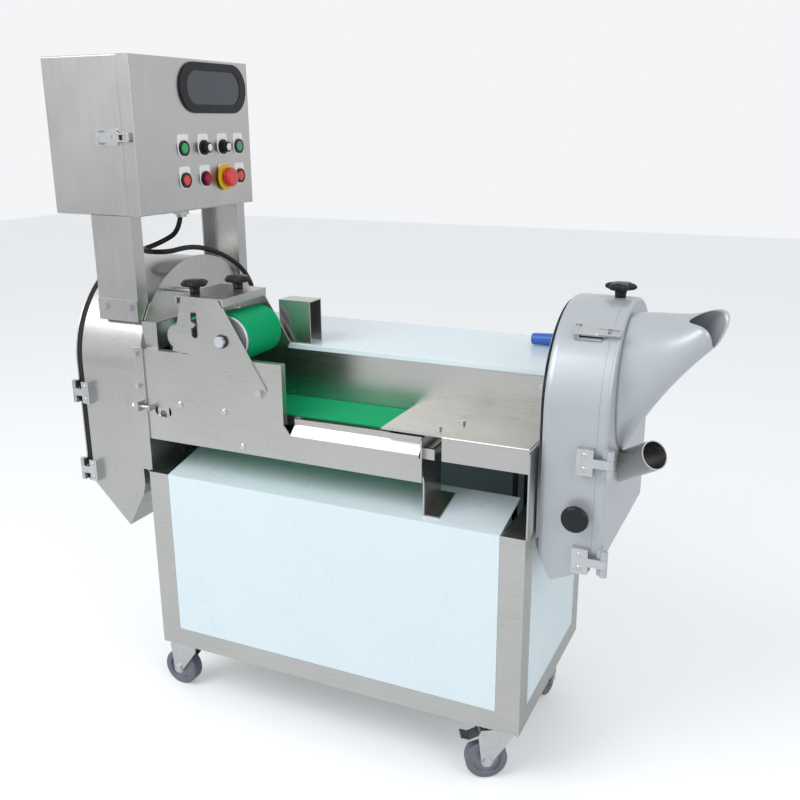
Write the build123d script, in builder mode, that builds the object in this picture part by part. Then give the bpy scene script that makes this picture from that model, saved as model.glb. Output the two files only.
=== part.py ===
"""Double-headed vegetable slicing machine on four castors, in millimetres.

The machine stands on z = 0 and runs along X: the leaf head with its conveyor is at the
left, the root head with its hopper at the right, and Y points to the back.
"""

from build123d import *
from math import asin, atan2, cos, hypot, pi, radians, sin, tan
import os

os.makedirs("parts", exist_ok=True)

# Cabinet
cabinet_length = 800.0
cabinet_depth = 410.0
cabinet_height = 391.0
castor_height = 122.0
upright_width = 46.0
rail_height = 40.0
frame_wall = 3.0
panel_sheet = 2.0
panel_gap = 0.5
panel_overlap = 14.0
slope_depth = 115.0
slope_rise = 27.0

# Castors
wheel_radius = 40.0
wheel_width = 27.0
castor_trail = 32.0
castor_plate = 68.0
castor_plate_thickness = 5.0
castor_inset = 44.0
fork_sheet = 3.0
axle_radius = 5.0

# Heads: each is an arched drum around a horizontal shaft
shaft_y = 205.0
sheet = 3.0
left_radius = 202.0
left_shaft_height = 210.0
left_outer_x = -152.0
right_radius = 175.0
right_shaft_height = 215.0
right_inner_x = 804.0
right_outer_x = 905.0
right_edge_round = 20.0
cover_sheet = 3.0
cover_rim = 17.0
seal_width = 12.7
seal_depth = 12.0
running_gap = 0.3
shaft_radius = 15.0
shaft_clearance = 0.05

# Trough and conveyor, heights above the cabinet's top edge
trough_y = 3.0
trough_low = 72.0
trough_lip = 123.0
lip_run = 17.0
trough_high = 257.0
trough_high_end = 325.0
trough_end = 600.0
belt_height = 155.0
belt_front_y = 33.0
belt_back_y = 148.0
belt_sheet = 3.0
roller_radius = 26.0
head_roller_x = 44.0
tail_roller_x = 569.0
table_height = 163.0
table_start = 525.0
rear_wall_y = 150.0
rear_wall_height = 259.0
apron_drop = 45.0

# Press unit above the conveyor
press_top = 370.0
press_roller_x = 200.0
press_roller_height = 291.0
press_roller_radius = 44.0
press_reach = 118.0
press_small_radius = 24.0

# Control box on its two posts
post_width = 97.0
post_depth = 30.0
post_x = -102.0
box_length = 180.0
box_x = -188.0
box_front_y = 15.0
box_back_y = 396.0
box_low = 512.0
box_high = 804.0
door_depth = 28.0
box_sheet = 2.0
window_y = 269.0
window_height = 750.0
window_width = 226.0
window_tall = 98.0
button_rows = (634.0, 572.0)
button_columns = (158.0, 224.0, 290.0, 348.0)
button_radius = 11.0
bezel_radius = 15.0

# Hopper and feed tube on the root head's cover
hopper_y = 150.0
tube_radius = 25.4
tube_wall = 2.0
tube_length = 118.0
tube_lean = 39.0
tube_rise = 30.0

# Hinges, latches and knobs
hinge_radius = 6.5
hinge_pin_radius = 3.0
hinge_length = 46.0
left_hinge_heights = (153.0, -17.0)
right_hinge_heights = (149.0, -28.0)
knob_radius = 27.0
cable_radius = 5.25

# Places worked out from the sizes above
deck = castor_height + cabinet_height
left_shaft_z = deck + left_shaft_height
right_shaft_z = deck + right_shaft_height
cover_x = right_outer_x + cover_rim
belt_outer = roller_radius + belt_sheet
roller_z = deck + belt_height - belt_outer
table_z = deck + table_height
lip_y = trough_y + lip_run + sheet
left_hinge_x = left_outer_x - 19.0
left_hinge_y = shaft_y - left_radius - 7.0
right_hinge_x = cover_x + 7.0
right_hinge_y = shaft_y - right_radius - 7.0
hopper_reach = 158.02
front_reach = -13.0
back_reach = 438.62
mid_x = (box_x + cover_x + hopper_reach) / 2
mid_y = (front_reach + back_reach) / 2


def top_plane(z):
    """Sketch plane at height z; the sketch's axes are the machine's X and Y."""
    return Plane(origin=(-mid_x, -mid_y, z))


def front_plane(y):
    """Sketch plane at depth y, facing forward; the sketch's axes are X and Z."""
    return Plane(origin=(-mid_x, y - mid_y, 0), x_dir=(1, 0, 0), z_dir=(0, -1, 0))


def side_plane(x):
    """Sketch plane at length x, facing right; the sketch's axes are Y and Z."""
    return Plane(origin=(x - mid_x, -mid_y, 0), x_dir=(0, 1, 0), z_dir=(1, 0, 0))


def place(x, y, z):
    """Machine point as a vector in the model's frame."""
    return Vector(x - mid_x, y - mid_y, z)


def block(x, y, z, mode=Mode.ADD):
    """Block between the (low, high) limits x, y and z."""
    with BuildSketch(top_plane(z[0])) as face:
        with Locations(((x[0] + x[1]) / 2, (y[0] + y[1]) / 2)):
            Rectangle(x[1] - x[0], y[1] - y[0])
    extrude(face.sketch, amount=z[1] - z[0], mode=mode)


def rod_x(x, y, z, radius, mode=Mode.ADD):
    """Round bar along X between the limits x."""
    with BuildSketch(side_plane(x[0])) as face:
        with Locations((y, z)):
            Circle(radius)
    extrude(face.sketch, amount=x[1] - x[0], mode=mode)


def rod_y(x, y, z, radius, mode=Mode.ADD):
    """Round bar along Y between the limits y."""
    with BuildSketch(front_plane(y[1])) as face:
        with Locations((x, z)):
            Circle(radius)
    extrude(face.sketch, amount=y[1] - y[0], mode=mode)


def rod_z(x, y, z, radius, mode=Mode.ADD):
    """Round bar along Z between the limits z."""
    with BuildSketch(top_plane(z[0])) as face:
        with Locations((x, y)):
            Circle(radius)
    extrude(face.sketch, amount=z[1] - z[0], mode=mode)


def sheet_y(points, y, mode=Mode.ADD):
    """Flat plate facing the front: an X, Z outline between the limits y."""
    with BuildSketch(front_plane(y[1])) as face:
        with BuildLine():
            Polyline(*points, close=True)
        make_face()
    extrude(face.sketch, amount=y[1] - y[0], mode=mode)


def sheet_x(points, x, mode=Mode.ADD):
    """Flat plate facing the side: a Y, Z outline between the limits x."""
    with BuildSketch(side_plane(x[0])) as face:
        with BuildLine():
            Polyline(*points, close=True)
        make_face()
    extrude(face.sketch, amount=x[1] - x[0], mode=mode)


def arch(x, radius, centre_z, low_z, mode=Mode.ADD):
    """Arched block: a half disc over straight legs, between the limits x."""
    with BuildSketch(side_plane(x[0])) as face:
        with BuildLine():
            Line((shaft_y - radius, low_z), (shaft_y - radius, centre_z))
            ThreePointArc(
                (shaft_y - radius, centre_z),
                (shaft_y, centre_z + radius),
                (shaft_y + radius, centre_z),
            )
            Line((shaft_y + radius, centre_z), (shaft_y + radius, low_z))
            Line((shaft_y + radius, low_z), (shaft_y - radius, low_z))
        make_face()
    extrude(face.sketch, amount=x[1] - x[0], mode=mode)


def hexagon(plane, at, across, height):
    """Hexagon head or nut standing on a plane at the sketch point at."""
    with BuildSketch(plane) as face:
        with Locations(at):
            RegularPolygon(across / 2, 6, major_radius=False)
    extrude(face.sketch, amount=height)


def save(part, name):
    """Label a finished piece and write its file."""
    part.label = name
    export_step(part, f"parts/{name}.step")


# Cabinet frame: one folded shell with a window in each side, so angles are left
with BuildPart() as cabinet_frame:
    block((0, cabinet_length), (0, cabinet_depth), (castor_height, deck))
    inner_x = (frame_wall, cabinet_length - frame_wall)
    inner_y = (frame_wall, cabinet_depth - frame_wall)
    inner_z = (castor_height + frame_wall, deck - frame_wall)
    block(inner_x, inner_y, inner_z, Mode.SUBTRACT)
    open_x = (upright_width, cabinet_length - upright_width)
    open_y = (upright_width, cabinet_depth - upright_width)
    open_z = (castor_height + rail_height, deck - rail_height)
    block(open_x, (-1, frame_wall + 1), (open_z[0], deck + 1), Mode.SUBTRACT)
    block(open_x, (cabinet_depth - frame_wall - 1, cabinet_depth + 1), open_z, Mode.SUBTRACT)
    block((-1, cabinet_length + 1), open_y, open_z, Mode.SUBTRACT)
    block(open_x, open_y, (castor_height - 1, castor_height + frame_wall + 1), Mode.SUBTRACT)
    block(open_x, (-1, open_y[1]), (deck - frame_wall - 1, deck + 1), Mode.SUBTRACT)
    for x in (frame_wall, cabinet_length - upright_width):
        block(
            (x, x + upright_width - frame_wall),
            (frame_wall, slope_depth),
            (deck - frame_wall - sheet, deck - frame_wall),
        )
save(cabinet_frame.part, "cabinet_frame")

# Front panel: flush in its window, folded back at the top into the drip slope
with BuildPart() as front_panel:
    face_x = (open_x[0] + panel_gap, open_x[1] - panel_gap)
    with BuildSketch(side_plane(face_x[0])) as profile:
        with BuildLine():
            Polyline(
                (0, open_z[0] + panel_gap),
                (0, deck),
                (slope_depth, deck + slope_rise),
                (slope_depth + 1, deck + slope_rise - panel_sheet),
                (panel_sheet, deck - panel_sheet),
                (panel_sheet, open_z[0] + panel_gap),
                close=True,
            )
        make_face()
    extrude(amount=face_x[1] - face_x[0])
    block(
        (open_x[0] - panel_overlap, open_x[1] + panel_overlap),
        (frame_wall, frame_wall + panel_sheet),
        (open_z[0] - panel_overlap, deck - frame_wall - sheet - 1),
    )
    block(
        face_x,
        (panel_sheet - 1, frame_wall + 1),
        (open_z[0] + panel_gap, deck - frame_wall - sheet - 1),
    )

# Side and rear panels: plates held behind the frame's windows
with BuildPart() as cabinet_panels:
    for skin, lap in (
        ((0, frame_wall), (frame_wall, frame_wall + panel_sheet)),
        (
            (cabinet_length - frame_wall, cabinet_length),
            (cabinet_length - frame_wall - panel_sheet, cabinet_length - frame_wall),
        ),
    ):
        block(
            skin,
            (open_y[0] + panel_gap, open_y[1] - panel_gap),
            (open_z[0] + panel_gap, open_z[1] - panel_gap),
        )
        block(
            lap,
            (open_y[0] - panel_overlap, open_y[1] + panel_overlap),
            (open_z[0] - panel_overlap, open_z[1] + panel_overlap),
        )
    block(
        face_x,
        (cabinet_depth - frame_wall, cabinet_depth),
        (open_z[0] + panel_gap, open_z[1] - panel_gap),
    )
    block(
        (open_x[0] - panel_overlap, open_x[1] + panel_overlap),
        (cabinet_depth - frame_wall - panel_sheet, cabinet_depth - frame_wall),
        (open_z[0] - panel_overlap, open_z[1] + panel_overlap),
    )
    with BuildSketch(front_plane(cabinet_depth + 1)) as vents:
        with Locations((cabinet_length / 2, deck - cabinet_height / 2)):
            with GridLocations(200, 24, 2, 5):
                SlotOverall(120, 8)
    extrude(amount=frame_wall + panel_sheet + 2, mode=Mode.SUBTRACT)
save(Compound(children=[cabinet_panels.part, front_panel.part]), "cabinet_panels")

# Trough front wall: high beside the knife, low with an inward lip along the feed side
with BuildPart() as trough_front_wall:
    wall_y = (trough_y, trough_y + sheet)
    sheet_y(
        (
            (0, deck + trough_low),
            (trough_end, deck + trough_low),
            (trough_end, deck + trough_lip),
            (trough_high_end + 14, deck + trough_lip),
            (trough_high_end, deck + trough_lip + lip_run),
            (trough_high_end, deck + trough_high),
            (0, deck + trough_high),
        ),
        wall_y,
    )
    wall_top = deck + trough_high
    flange_y = (trough_y, trough_y + 14)
    block((0, trough_high_end), flange_y, (wall_top - sheet, wall_top))
    block(
        (trough_high_end - sheet, trough_high_end),
        flange_y,
        (deck + trough_lip + lip_run, wall_top),
    )
    with BuildSketch(side_plane(trough_high_end + 14)) as lip:
        with BuildLine():
            Polyline(
                (trough_y, deck + trough_lip),
                (trough_y + lip_run, deck + trough_lip + lip_run),
                (trough_y + lip_run, deck + belt_height - 4),
                (trough_y + lip_run + sheet, deck + belt_height - 4),
                (trough_y + lip_run + sheet, deck + trough_lip + lip_run - 1.2),
                (trough_y + sheet, deck + trough_lip - 1.2),
                close=True,
            )
        make_face()
    extrude(amount=trough_end - trough_high_end - 14)
    with BuildSketch(front_plane(trough_y + sheet + 1)) as cut_outs:
        with Locations((head_roller_x + 2, deck + belt_height - roller_radius + 5)):
            SlotOverall(40, 24)
    extrude(amount=sheet + 2, mode=Mode.SUBTRACT)
save(trough_front_wall.part, "trough_front_wall")

# Feed table: rear wall, table and front apron welded from one width of sheet
with BuildPart() as feed_table:
    wall_foot = roller_z - roller_radius - 20
    block(
        (0, cabinet_length),
        (rear_wall_y, rear_wall_y + sheet),
        (wall_foot, deck + rear_wall_height),
    )
    block((table_start, cabinet_length), (trough_y + 4, rear_wall_y), (table_z - sheet, table_z))
    block(
        (table_start + 118, cabinet_length),
        (trough_y + 1, trough_y + 1 + sheet),
        (table_z - apron_drop, table_z - 3),
    )
    with BuildSketch(side_plane(table_start + 118)) as nose:
        with BuildLine():
            Line((trough_y + 1, table_z - 3.5), (trough_y + 1, table_z - 3))
            RadiusArc((trough_y + 1, table_z - 3), (trough_y + 4, table_z), 3)
            Line((trough_y + 4, table_z), (trough_y + 4, table_z - 3.5))
            Line((trough_y + 4, table_z - 3.5), (trough_y + 1, table_z - 3.5))
        make_face()
    extrude(amount=cabinet_length - table_start - 118)
    block(
        (table_start + 118, cabinet_length),
        (trough_y + 1, trough_y + 17),
        (table_z - apron_drop, table_z - apron_drop + sheet),
    )
    block(
        (cabinet_length - 45, cabinet_length),
        (rear_wall_y - sheet, rear_wall_y),
        (table_z, deck + rear_wall_height - 10),
    )
    for x in (head_roller_x, tail_roller_x):
        rod_y(x, (rear_wall_y - 1, rear_wall_y + sheet + 1), roller_z, 10, Mode.SUBTRACT)
save(feed_table.part, "feed_table")

# Conveyor belt: a closed loop around its two rollers
with BuildPart() as conveyor_belt:
    with BuildSketch(front_plane(belt_back_y)) as loop:
        with Locations(((head_roller_x + tail_roller_x) / 2, roller_z)):
            SlotCenterToCenter(tail_roller_x - head_roller_x, 2 * belt_outer)
            SlotCenterToCenter(
                tail_roller_x - head_roller_x,
                2 * (roller_radius + running_gap),
                mode=Mode.SUBTRACT,
            )
    extrude(amount=belt_back_y - belt_front_y)
save(conveyor_belt.part, "conveyor_belt")

# Belt rollers, each with its shaft ends
roller_shaft = 8.0
for x, name in ((head_roller_x, "belt_head_roller"), (tail_roller_x, "belt_tail_roller")):
    with BuildPart() as roller:
        rod_y(x, (belt_front_y + 2, belt_back_y - 2), roller_z, roller_radius)
        rod_y(x, (lip_y + 1, rear_wall_y + sheet + 12), roller_z, roller_shaft)
        ends = roller.edges().filter_by(GeomType.CIRCLE).group_by(SortBy.RADIUS)[-1]
        chamfer(ends, 1.5)
    save(roller.part, name)

# Belt bed between the rollers, its bearing blocks and cross bars
with BuildPart() as belt_bed:
    bed_x = (head_roller_x + roller_radius + 12, tail_roller_x - roller_radius - 12)
    bed_z = deck + belt_height - belt_sheet - running_gap
    block(bed_x, (belt_front_y, belt_back_y), (bed_z - sheet, bed_z))
    for y in (belt_front_y, belt_back_y - sheet):
        block(bed_x, (y, y + sheet), (bed_z - 20, bed_z - sheet))
    for x, front in ((bed_x[0] + 20, trough_y + sheet), (bed_x[1] - 40, lip_y)):
        block((x, x + 20), (front, rear_wall_y), (bed_z - 24, bed_z - 20))
        block((x, x + 20), (front, front + sheet), (bed_z - 20, bed_z - 5))
    for x, front in ((head_roller_x, trough_y + sheet), (tail_roller_x, lip_y)):
        for y in ((front, belt_front_y - 3), (rear_wall_y + sheet, rear_wall_y + 15)):
            block((x - 14, x + 14), y, (roller_z - 14, roller_z + 19))
            rod_y(x, (y[0] - 1, y[1] + 1), roller_z, roller_shaft + shaft_clearance, Mode.SUBTRACT)

# End bracket: a cranked plate from the drip slope up to the trough's end
with BuildPart() as end_bracket:
    bracket_x = (trough_end + 3, trough_end + 6)
    foot_y = (trough_y + 12, slope_depth - 22)
    foot = [(y, deck + slope_rise * y / slope_depth) for y in foot_y]
    sheet_x(
        (
            foot[0],
            foot[1],
            (foot_y[1], roller_z),
            (trough_y + 30, table_z - sheet),
            (trough_y, table_z - 12),
            (trough_y, deck + trough_lip - 6),
            (foot_y[0], deck + trough_low - 6),
        ),
        bracket_x,
    )
    lifted = [(y, z + sheet) for y, z in reversed(foot)]
    sheet_x((foot[0], foot[1], *lifted), (bracket_x[0], bracket_x[0] + 32))
    block(
        (trough_end, bracket_x[1]),
        (trough_y, trough_y + sheet),
        (deck + trough_low, deck + trough_lip - 6),
    )
    rod_y(bracket_x[1] + 12, (trough_y + 12, rear_wall_y), roller_z - 2, 6)
    block(
        (bracket_x[1], bracket_x[1] + 20),
        (trough_y + 10, trough_y + 13),
        (roller_z - 12, roller_z + 8),
    )

# Belt tensioner: a screw through a block on the left end plate's flange
tension_z = deck + trough_lip + 18
with BuildPart() as belt_tensioner:
    block((-13, -3), (-13, 0), (tension_z - 10, tension_z + 10))
    rod_x((-19, 24), -6.5, tension_z, 3)
    hexagon(side_plane(-19), (-6.5, tension_z), 11, 6)
    block((20, 24), (-12, trough_y), (tension_z - 6, tension_z + 6))
belt_supports = Compound(children=[belt_bed.part, end_bracket.part, belt_tensioner.part])
save(belt_supports, "belt_bed")

# Rear motor cover: top, back and a front lip over the trough's rear wall
cover_top = deck + rear_wall_height + 0.2
with BuildPart() as top_cover:
    cover_span = (1.0, cabinet_length - 1)
    cover_back = (cabinet_depth - panel_sheet, cabinet_depth)
    block(cover_span, (rear_wall_y - 2, cabinet_depth), (cover_top, cover_top + panel_sheet))
    block(cover_span, cover_back, (deck, cover_top + panel_sheet))
    block(cover_span, (rear_wall_y - 2, rear_wall_y - 0.2), (cover_top - 8, cover_top))
    top_edges = top_cover.edges().filter_by(Axis.X).group_by(Axis.Z)[-1]
    fillet(top_edges, panel_sheet / 2)
    rod_z(24, 372, (cover_top - 1, cover_top + 3), cable_radius + 1, Mode.SUBTRACT)
save(top_cover.part, "top_cover")

# End plates: the left one rises as the half-disc guard beside the knife
plate = 3.0
throat_y = (28.0, 146.0)
throat_z = (deck + belt_height - 6, deck + 245)
throat_length = 36.0
bearing_radius = 34.0
bearing_length = 26.0
with BuildPart() as left_end_plate:
    arch((-plate, 0), shaft_y, left_shaft_z, deck)
    block((-17, 8), (0, trough_y), (deck + 4, deck + trough_high + 2))
    block(
        (-plate - 1, 1),
        throat_y,
        throat_z,
        Mode.SUBTRACT,
    )
    rod_x((-plate - 1, 9), shaft_y, left_shaft_z, shaft_radius + 6, Mode.SUBTRACT)
with BuildPart() as right_end_plate:
    right_plate_x = (cabinet_length, cabinet_length + plate)
    sheet_x(
        (
            (0, deck),
            (cabinet_depth, deck),
            (cabinet_depth, deck + rear_wall_height),
            (rear_wall_y, deck + rear_wall_height),
            (rear_wall_y, table_z),
            (0, table_z - 8),
        ),
        right_plate_x,
    )
    rod_x(
        (right_plate_x[0] - 1, right_plate_x[1] + 1),
        shaft_y,
        right_shaft_z,
        shaft_radius + 6,
        Mode.SUBTRACT,
    )
with BuildPart() as feed_throat:
    block(
        (0, throat_length),
        (trough_y + 12, rear_wall_y - 2.2),
        (deck + trough_high, deck + trough_high + 53),
    )
    block(
        (2, throat_length + 1),
        (trough_y + 14, rear_wall_y - 4.2),
        (deck + trough_high - 1, deck + trough_high + 51),
        Mode.SUBTRACT,
    )
bearing_parts = []
for plate_x, side, centre_z in ((0, 1, left_shaft_z), (cabinet_length, -1, right_shaft_z)):
    with BuildPart() as bearing:
        ends = sorted((plate_x, plate_x + side * bearing_length))
        rod_x(ends, shaft_y, centre_z, bearing_radius)
        flange = sorted((plate_x, plate_x + side * 10))
        block(
            flange,
            (shaft_y - 42, shaft_y + 42),
            (centre_z - 42, centre_z + 42),
        )
        bore = shaft_radius + shaft_clearance
        rod_x((ends[0] - 1, ends[1] + 1), shaft_y, centre_z, bore, Mode.SUBTRACT)
    bearing_parts.append(bearing.part)
end_plate_group = Compound(
    children=[left_end_plate.part, right_end_plate.part, feed_throat.part, *bearing_parts]
)
save(end_plate_group, "end_plates")

# Left housing: arched band, back wall and a slanted floor that leaves the outlet open
left_low = deck - 132
with BuildPart() as left_housing:
    arch((left_outer_x, -plate), left_radius, left_shaft_z, left_low)
    arch((left_outer_x - 1, -2 * plate), left_radius - sheet, left_shaft_z, left_low - 1, Mode.SUBTRACT)
    block((-17, 10), (-10, cabinet_depth + 10), (left_low - 1, deck + 2), Mode.SUBTRACT)
    sheet_y(
        (
            (left_outer_x - 1, left_low - 1),
            (left_outer_x - 1, deck - 46),
            (left_outer_x, deck - 46),
            (-66, left_low),
            (-23, deck - 56),
            (-17, deck - 33),
            (-10, left_low - 1),
        ),
        (-10, cabinet_depth + 10),
        Mode.SUBTRACT,
    )
    inside = (shaft_y - left_radius + sheet / 2, shaft_y + left_radius - sheet / 2)
    sheet_y(
        (
            (-66, left_low),
            (-23, deck - 56),
            (-17, deck - 33),
            (-17, deck + 2),
            (-plate, deck + 2),
            (-plate, deck + 5),
            (-20, deck + 5),
            (-20, deck - 33),
            (-25.7, deck - 55),
            (-68.7, left_low + 1.5),
        ),
        inside,
    )
    block((-7, -2), throat_y, throat_z, Mode.SUBTRACT)
    rod_x((-8, -1), shaft_y, left_shaft_z, shaft_radius + 6, Mode.SUBTRACT)
save(left_housing.part, "left_housing")

# Right housing: the same form, mirrored, smaller and with a rounded shoulder
right_low = deck - 80
with BuildPart() as right_hollow:
    arch(
        (right_inner_x + 2, right_outer_x + 1),
        right_radius - sheet,
        right_shaft_z,
        right_low - 1,
    )
    sheet_y(
        (
            (right_inner_x - 4, deck - 3),
            (right_inner_x + 34.7, right_low + 1.4),
            (right_inner_x + 38, right_low - 5),
            (right_inner_x - 4, right_low - 5),
        ),
        (-10, cabinet_depth + 10),
        Mode.SUBTRACT,
    )
with BuildPart() as right_housing:
    housing_x = (right_inner_x - 1, right_outer_x)
    arch(housing_x, right_radius, right_shaft_z, right_low)
    shoulder = right_housing.faces().sort_by(Axis.X)[0].edges().sort_by(Axis.Z)[1:]
    fillet(shoulder, right_edge_round)
    floor = ((right_inner_x - 2, deck - 13), (836, right_low), (926, deck - 39))
    sheet_y(
        (*floor, (930, right_low - 1), (right_inner_x - 2, right_low - 1)),
        (-10, cabinet_depth + 10),
        Mode.SUBTRACT,
    )
    add(right_hollow.part, mode=Mode.SUBTRACT)
    rod_x(
        (right_inner_x - 2, right_inner_x + 4),
        shaft_y,
        right_shaft_z,
        shaft_radius + 6,
        Mode.SUBTRACT,
    )
    rod_z(892, shaft_y, (deck + 380, deck + 395), 5 + shaft_clearance, Mode.SUBTRACT)
    rod_y(879, (25, 36), deck + 49, 5 + shaft_clearance, Mode.SUBTRACT)
save(right_housing.part, "right_housing")

# Knife rotor of the leaf head: a hub with two sickle blades, on its shaft and pulley
knife_radius = 186.0
knife_x = -58.0
pulley_radius = 42.0
pulley_width = 24.0
left_pulley_x = 62.0
right_pulley_x = cabinet_length - left_pulley_x - pulley_width
with BuildSketch() as sickle:
    with BuildLine():
        ThreePointArc((-10, 44), (96, 112), (knife_radius - 4, -18))
        Line((knife_radius - 4, -18), (knife_radius - 14, -40))
        ThreePointArc((knife_radius - 14, -40), (100, 26), (30, -30))
        Line((30, -30), (-10, 44))
    make_face()
with BuildPart() as knife_disc:
    with BuildSketch(side_plane(knife_x)) as blades:
        with Locations((shaft_y, left_shaft_z)):
            with PolarLocations(0, 2):
                add(sickle.sketch)
            Circle(46)
    extrude(amount=5)
    rod_x((knife_x - 16, knife_x + 22), shaft_y, left_shaft_z, 34)
    bore = shaft_radius
    rod_x((knife_x - 17, knife_x + 23), shaft_y, left_shaft_z, bore, Mode.SUBTRACT)
    rod_x((knife_x - 17, knife_x - 12), shaft_y, left_shaft_z, 26, Mode.SUBTRACT)
save(knife_disc.part, "knife_disc")

# Slicing disc of the root head: a plate with three knives lifted over their slots
disc_x = 862.0
disc_radius = right_radius - 22
with BuildPart() as slicing_disc:
    rod_x((disc_x, disc_x + 6), shaft_y, right_shaft_z, disc_radius)
    rod_x((disc_x - 18, disc_x + 14), shaft_y, right_shaft_z, 30)
    with BuildSketch(side_plane(disc_x - 1)) as slots:
        with Locations((shaft_y, right_shaft_z)):
            with PolarLocations(92, 3):
                SlotOverall(96, 16)
    extrude(amount=8, mode=Mode.SUBTRACT)
    with BuildSketch(side_plane(disc_x + 6)) as knives:
        with Locations((shaft_y, right_shaft_z)):
            with PolarLocations(92, 3):
                with Locations((0, 11)):
                    Rectangle(92, 12)
    extrude(amount=3, taper=18)
    bore = shaft_radius
    rod_x((disc_x - 19, disc_x + 15), shaft_y, right_shaft_z, bore, Mode.SUBTRACT)
save(slicing_disc.part, "slicing_disc")


def grooved_pulley(x, centre_z, bore=0.0):
    """Pulley with a V groove on a shaft along X, starting at x."""
    rod_x((x, x + pulley_width), shaft_y, centre_z, pulley_radius)
    with BuildSketch(Plane(place(x, shaft_y, centre_z), x_dir=(1, 0, 0), z_dir=(0, -1, 0))) as groove:
        with BuildLine():
            middle = pulley_width / 2
            Polyline(
                (middle - 8, pulley_radius + 1),
                (middle - 4, pulley_radius - 10),
                (middle + 4, pulley_radius - 10),
                (middle + 8, pulley_radius + 1),
                close=True,
            )
        make_face()
    axis = Axis(tuple(place(0, shaft_y, centre_z)), (1, 0, 0))
    revolve(groove.sketch, axis=axis, mode=Mode.SUBTRACT)
    if bore:
        rod_x((x - 1, x + pulley_width + 1), shaft_y, centre_z, bore, Mode.SUBTRACT)


# Rotor shafts with their pulleys and end nuts
with BuildPart() as knife_shaft:
    rod_x((knife_x - 12, left_pulley_x + pulley_width + 6), shaft_y, left_shaft_z, shaft_radius)
    grooved_pulley(left_pulley_x, left_shaft_z)
    hexagon(side_plane(knife_x - 26), (shaft_y, left_shaft_z), 24, 14)
save(knife_shaft.part, "knife_shaft")
with BuildPart() as slicer_shaft:
    rod_x((right_pulley_x - 6, disc_x + 14), shaft_y, right_shaft_z, shaft_radius)
    grooved_pulley(right_pulley_x, right_shaft_z)
    hexagon(side_plane(disc_x + 14), (shaft_y, right_shaft_z), 24, 12)
save(slicer_shaft.part, "slicer_shaft")

# Drive motors on their shelf, with the conveyor's gear motor beside the head roller
motor_drop = 170.0
motor_radius = 65.0
motor_length = 170.0
motor_z = deck - motor_drop
motor_shaft = 12.0
left_motor_x = left_pulley_x + pulley_width + 16
right_motor_x = right_pulley_x - 16 - motor_length
shelf_z = motor_z - motor_radius - 8
motor_solids = []
with BuildPart() as motor_shelf:
    block(
        (frame_wall + panel_sheet, cabinet_length - frame_wall - panel_sheet),
        (shaft_y - 95, shaft_y + 95),
        (shelf_z - 4, shelf_z),
    )
for x, side in ((left_motor_x, -1), (right_motor_x, 1)):
    with BuildPart() as motor:
        rod_x((x, x + motor_length), shaft_y, motor_z, motor_radius)
        block((x + 20, x + motor_length - 20), (shaft_y - 55, shaft_y + 55), (shelf_z, motor_z))
        block((x + 50, x + 120), (shaft_y - 30, shaft_y + 30), (motor_z, motor_z + motor_radius + 28))
        flange_x = x if side < 0 else x + motor_length
        step_x = sorted((flange_x, flange_x + side * 8))
        rod_x(step_x, shaft_y, motor_z, motor_radius - 18)
    motor_solids.append(motor.part)
with BuildPart() as gear_motor:
    gear_x = (head_roller_x - 30, head_roller_x + 14)
    gear_y = rear_wall_y + sheet + 14
    block(gear_x, (gear_y, gear_y + 44), (roller_z - 34, roller_z + 16))
    rod_y(gear_x[0] + 20, (gear_y + 44, gear_y + 150), roller_z - 12, 26)
motors = Compound(children=[motor_shelf.part, *motor_solids, gear_motor.part])
save(motors, "motors")

for x, motor_face, name in (
    (left_pulley_x, left_motor_x - 8, "knife_motor_pulley"),
    (right_pulley_x, right_motor_x + motor_length + 8, "slicer_motor_pulley"),
):
    with BuildPart() as motor_pulley:
        grooved_pulley(x, motor_z)
        if motor_face > x:
            rod_x((x + pulley_width, motor_face - running_gap), shaft_y, motor_z, motor_shaft)
        else:
            rod_x((motor_face + running_gap, x), shaft_y, motor_z, motor_shaft)
    save(motor_pulley.part, name)

# V-belts, one on each pair of equal pulleys
belts = []
belt_inner = pulley_radius - 10 + running_gap
for x, top_z in ((left_pulley_x, left_shaft_z), (right_pulley_x, right_shaft_z)):
    with BuildPart() as v_belt:
        with BuildSketch(side_plane(x + pulley_width / 2 - 4)) as loop:
            with Locations(Location((shaft_y, (top_z + motor_z) / 2, 0), (0, 0, 90))):
                SlotCenterToCenter(top_z - motor_z, 2 * (belt_inner + 8))
                SlotCenterToCenter(top_z - motor_z, 2 * belt_inner, mode=Mode.SUBTRACT)
        extrude(amount=8)
    belts.append(v_belt.part)
save(Compound(children=belts), "drive_belts")

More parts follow.
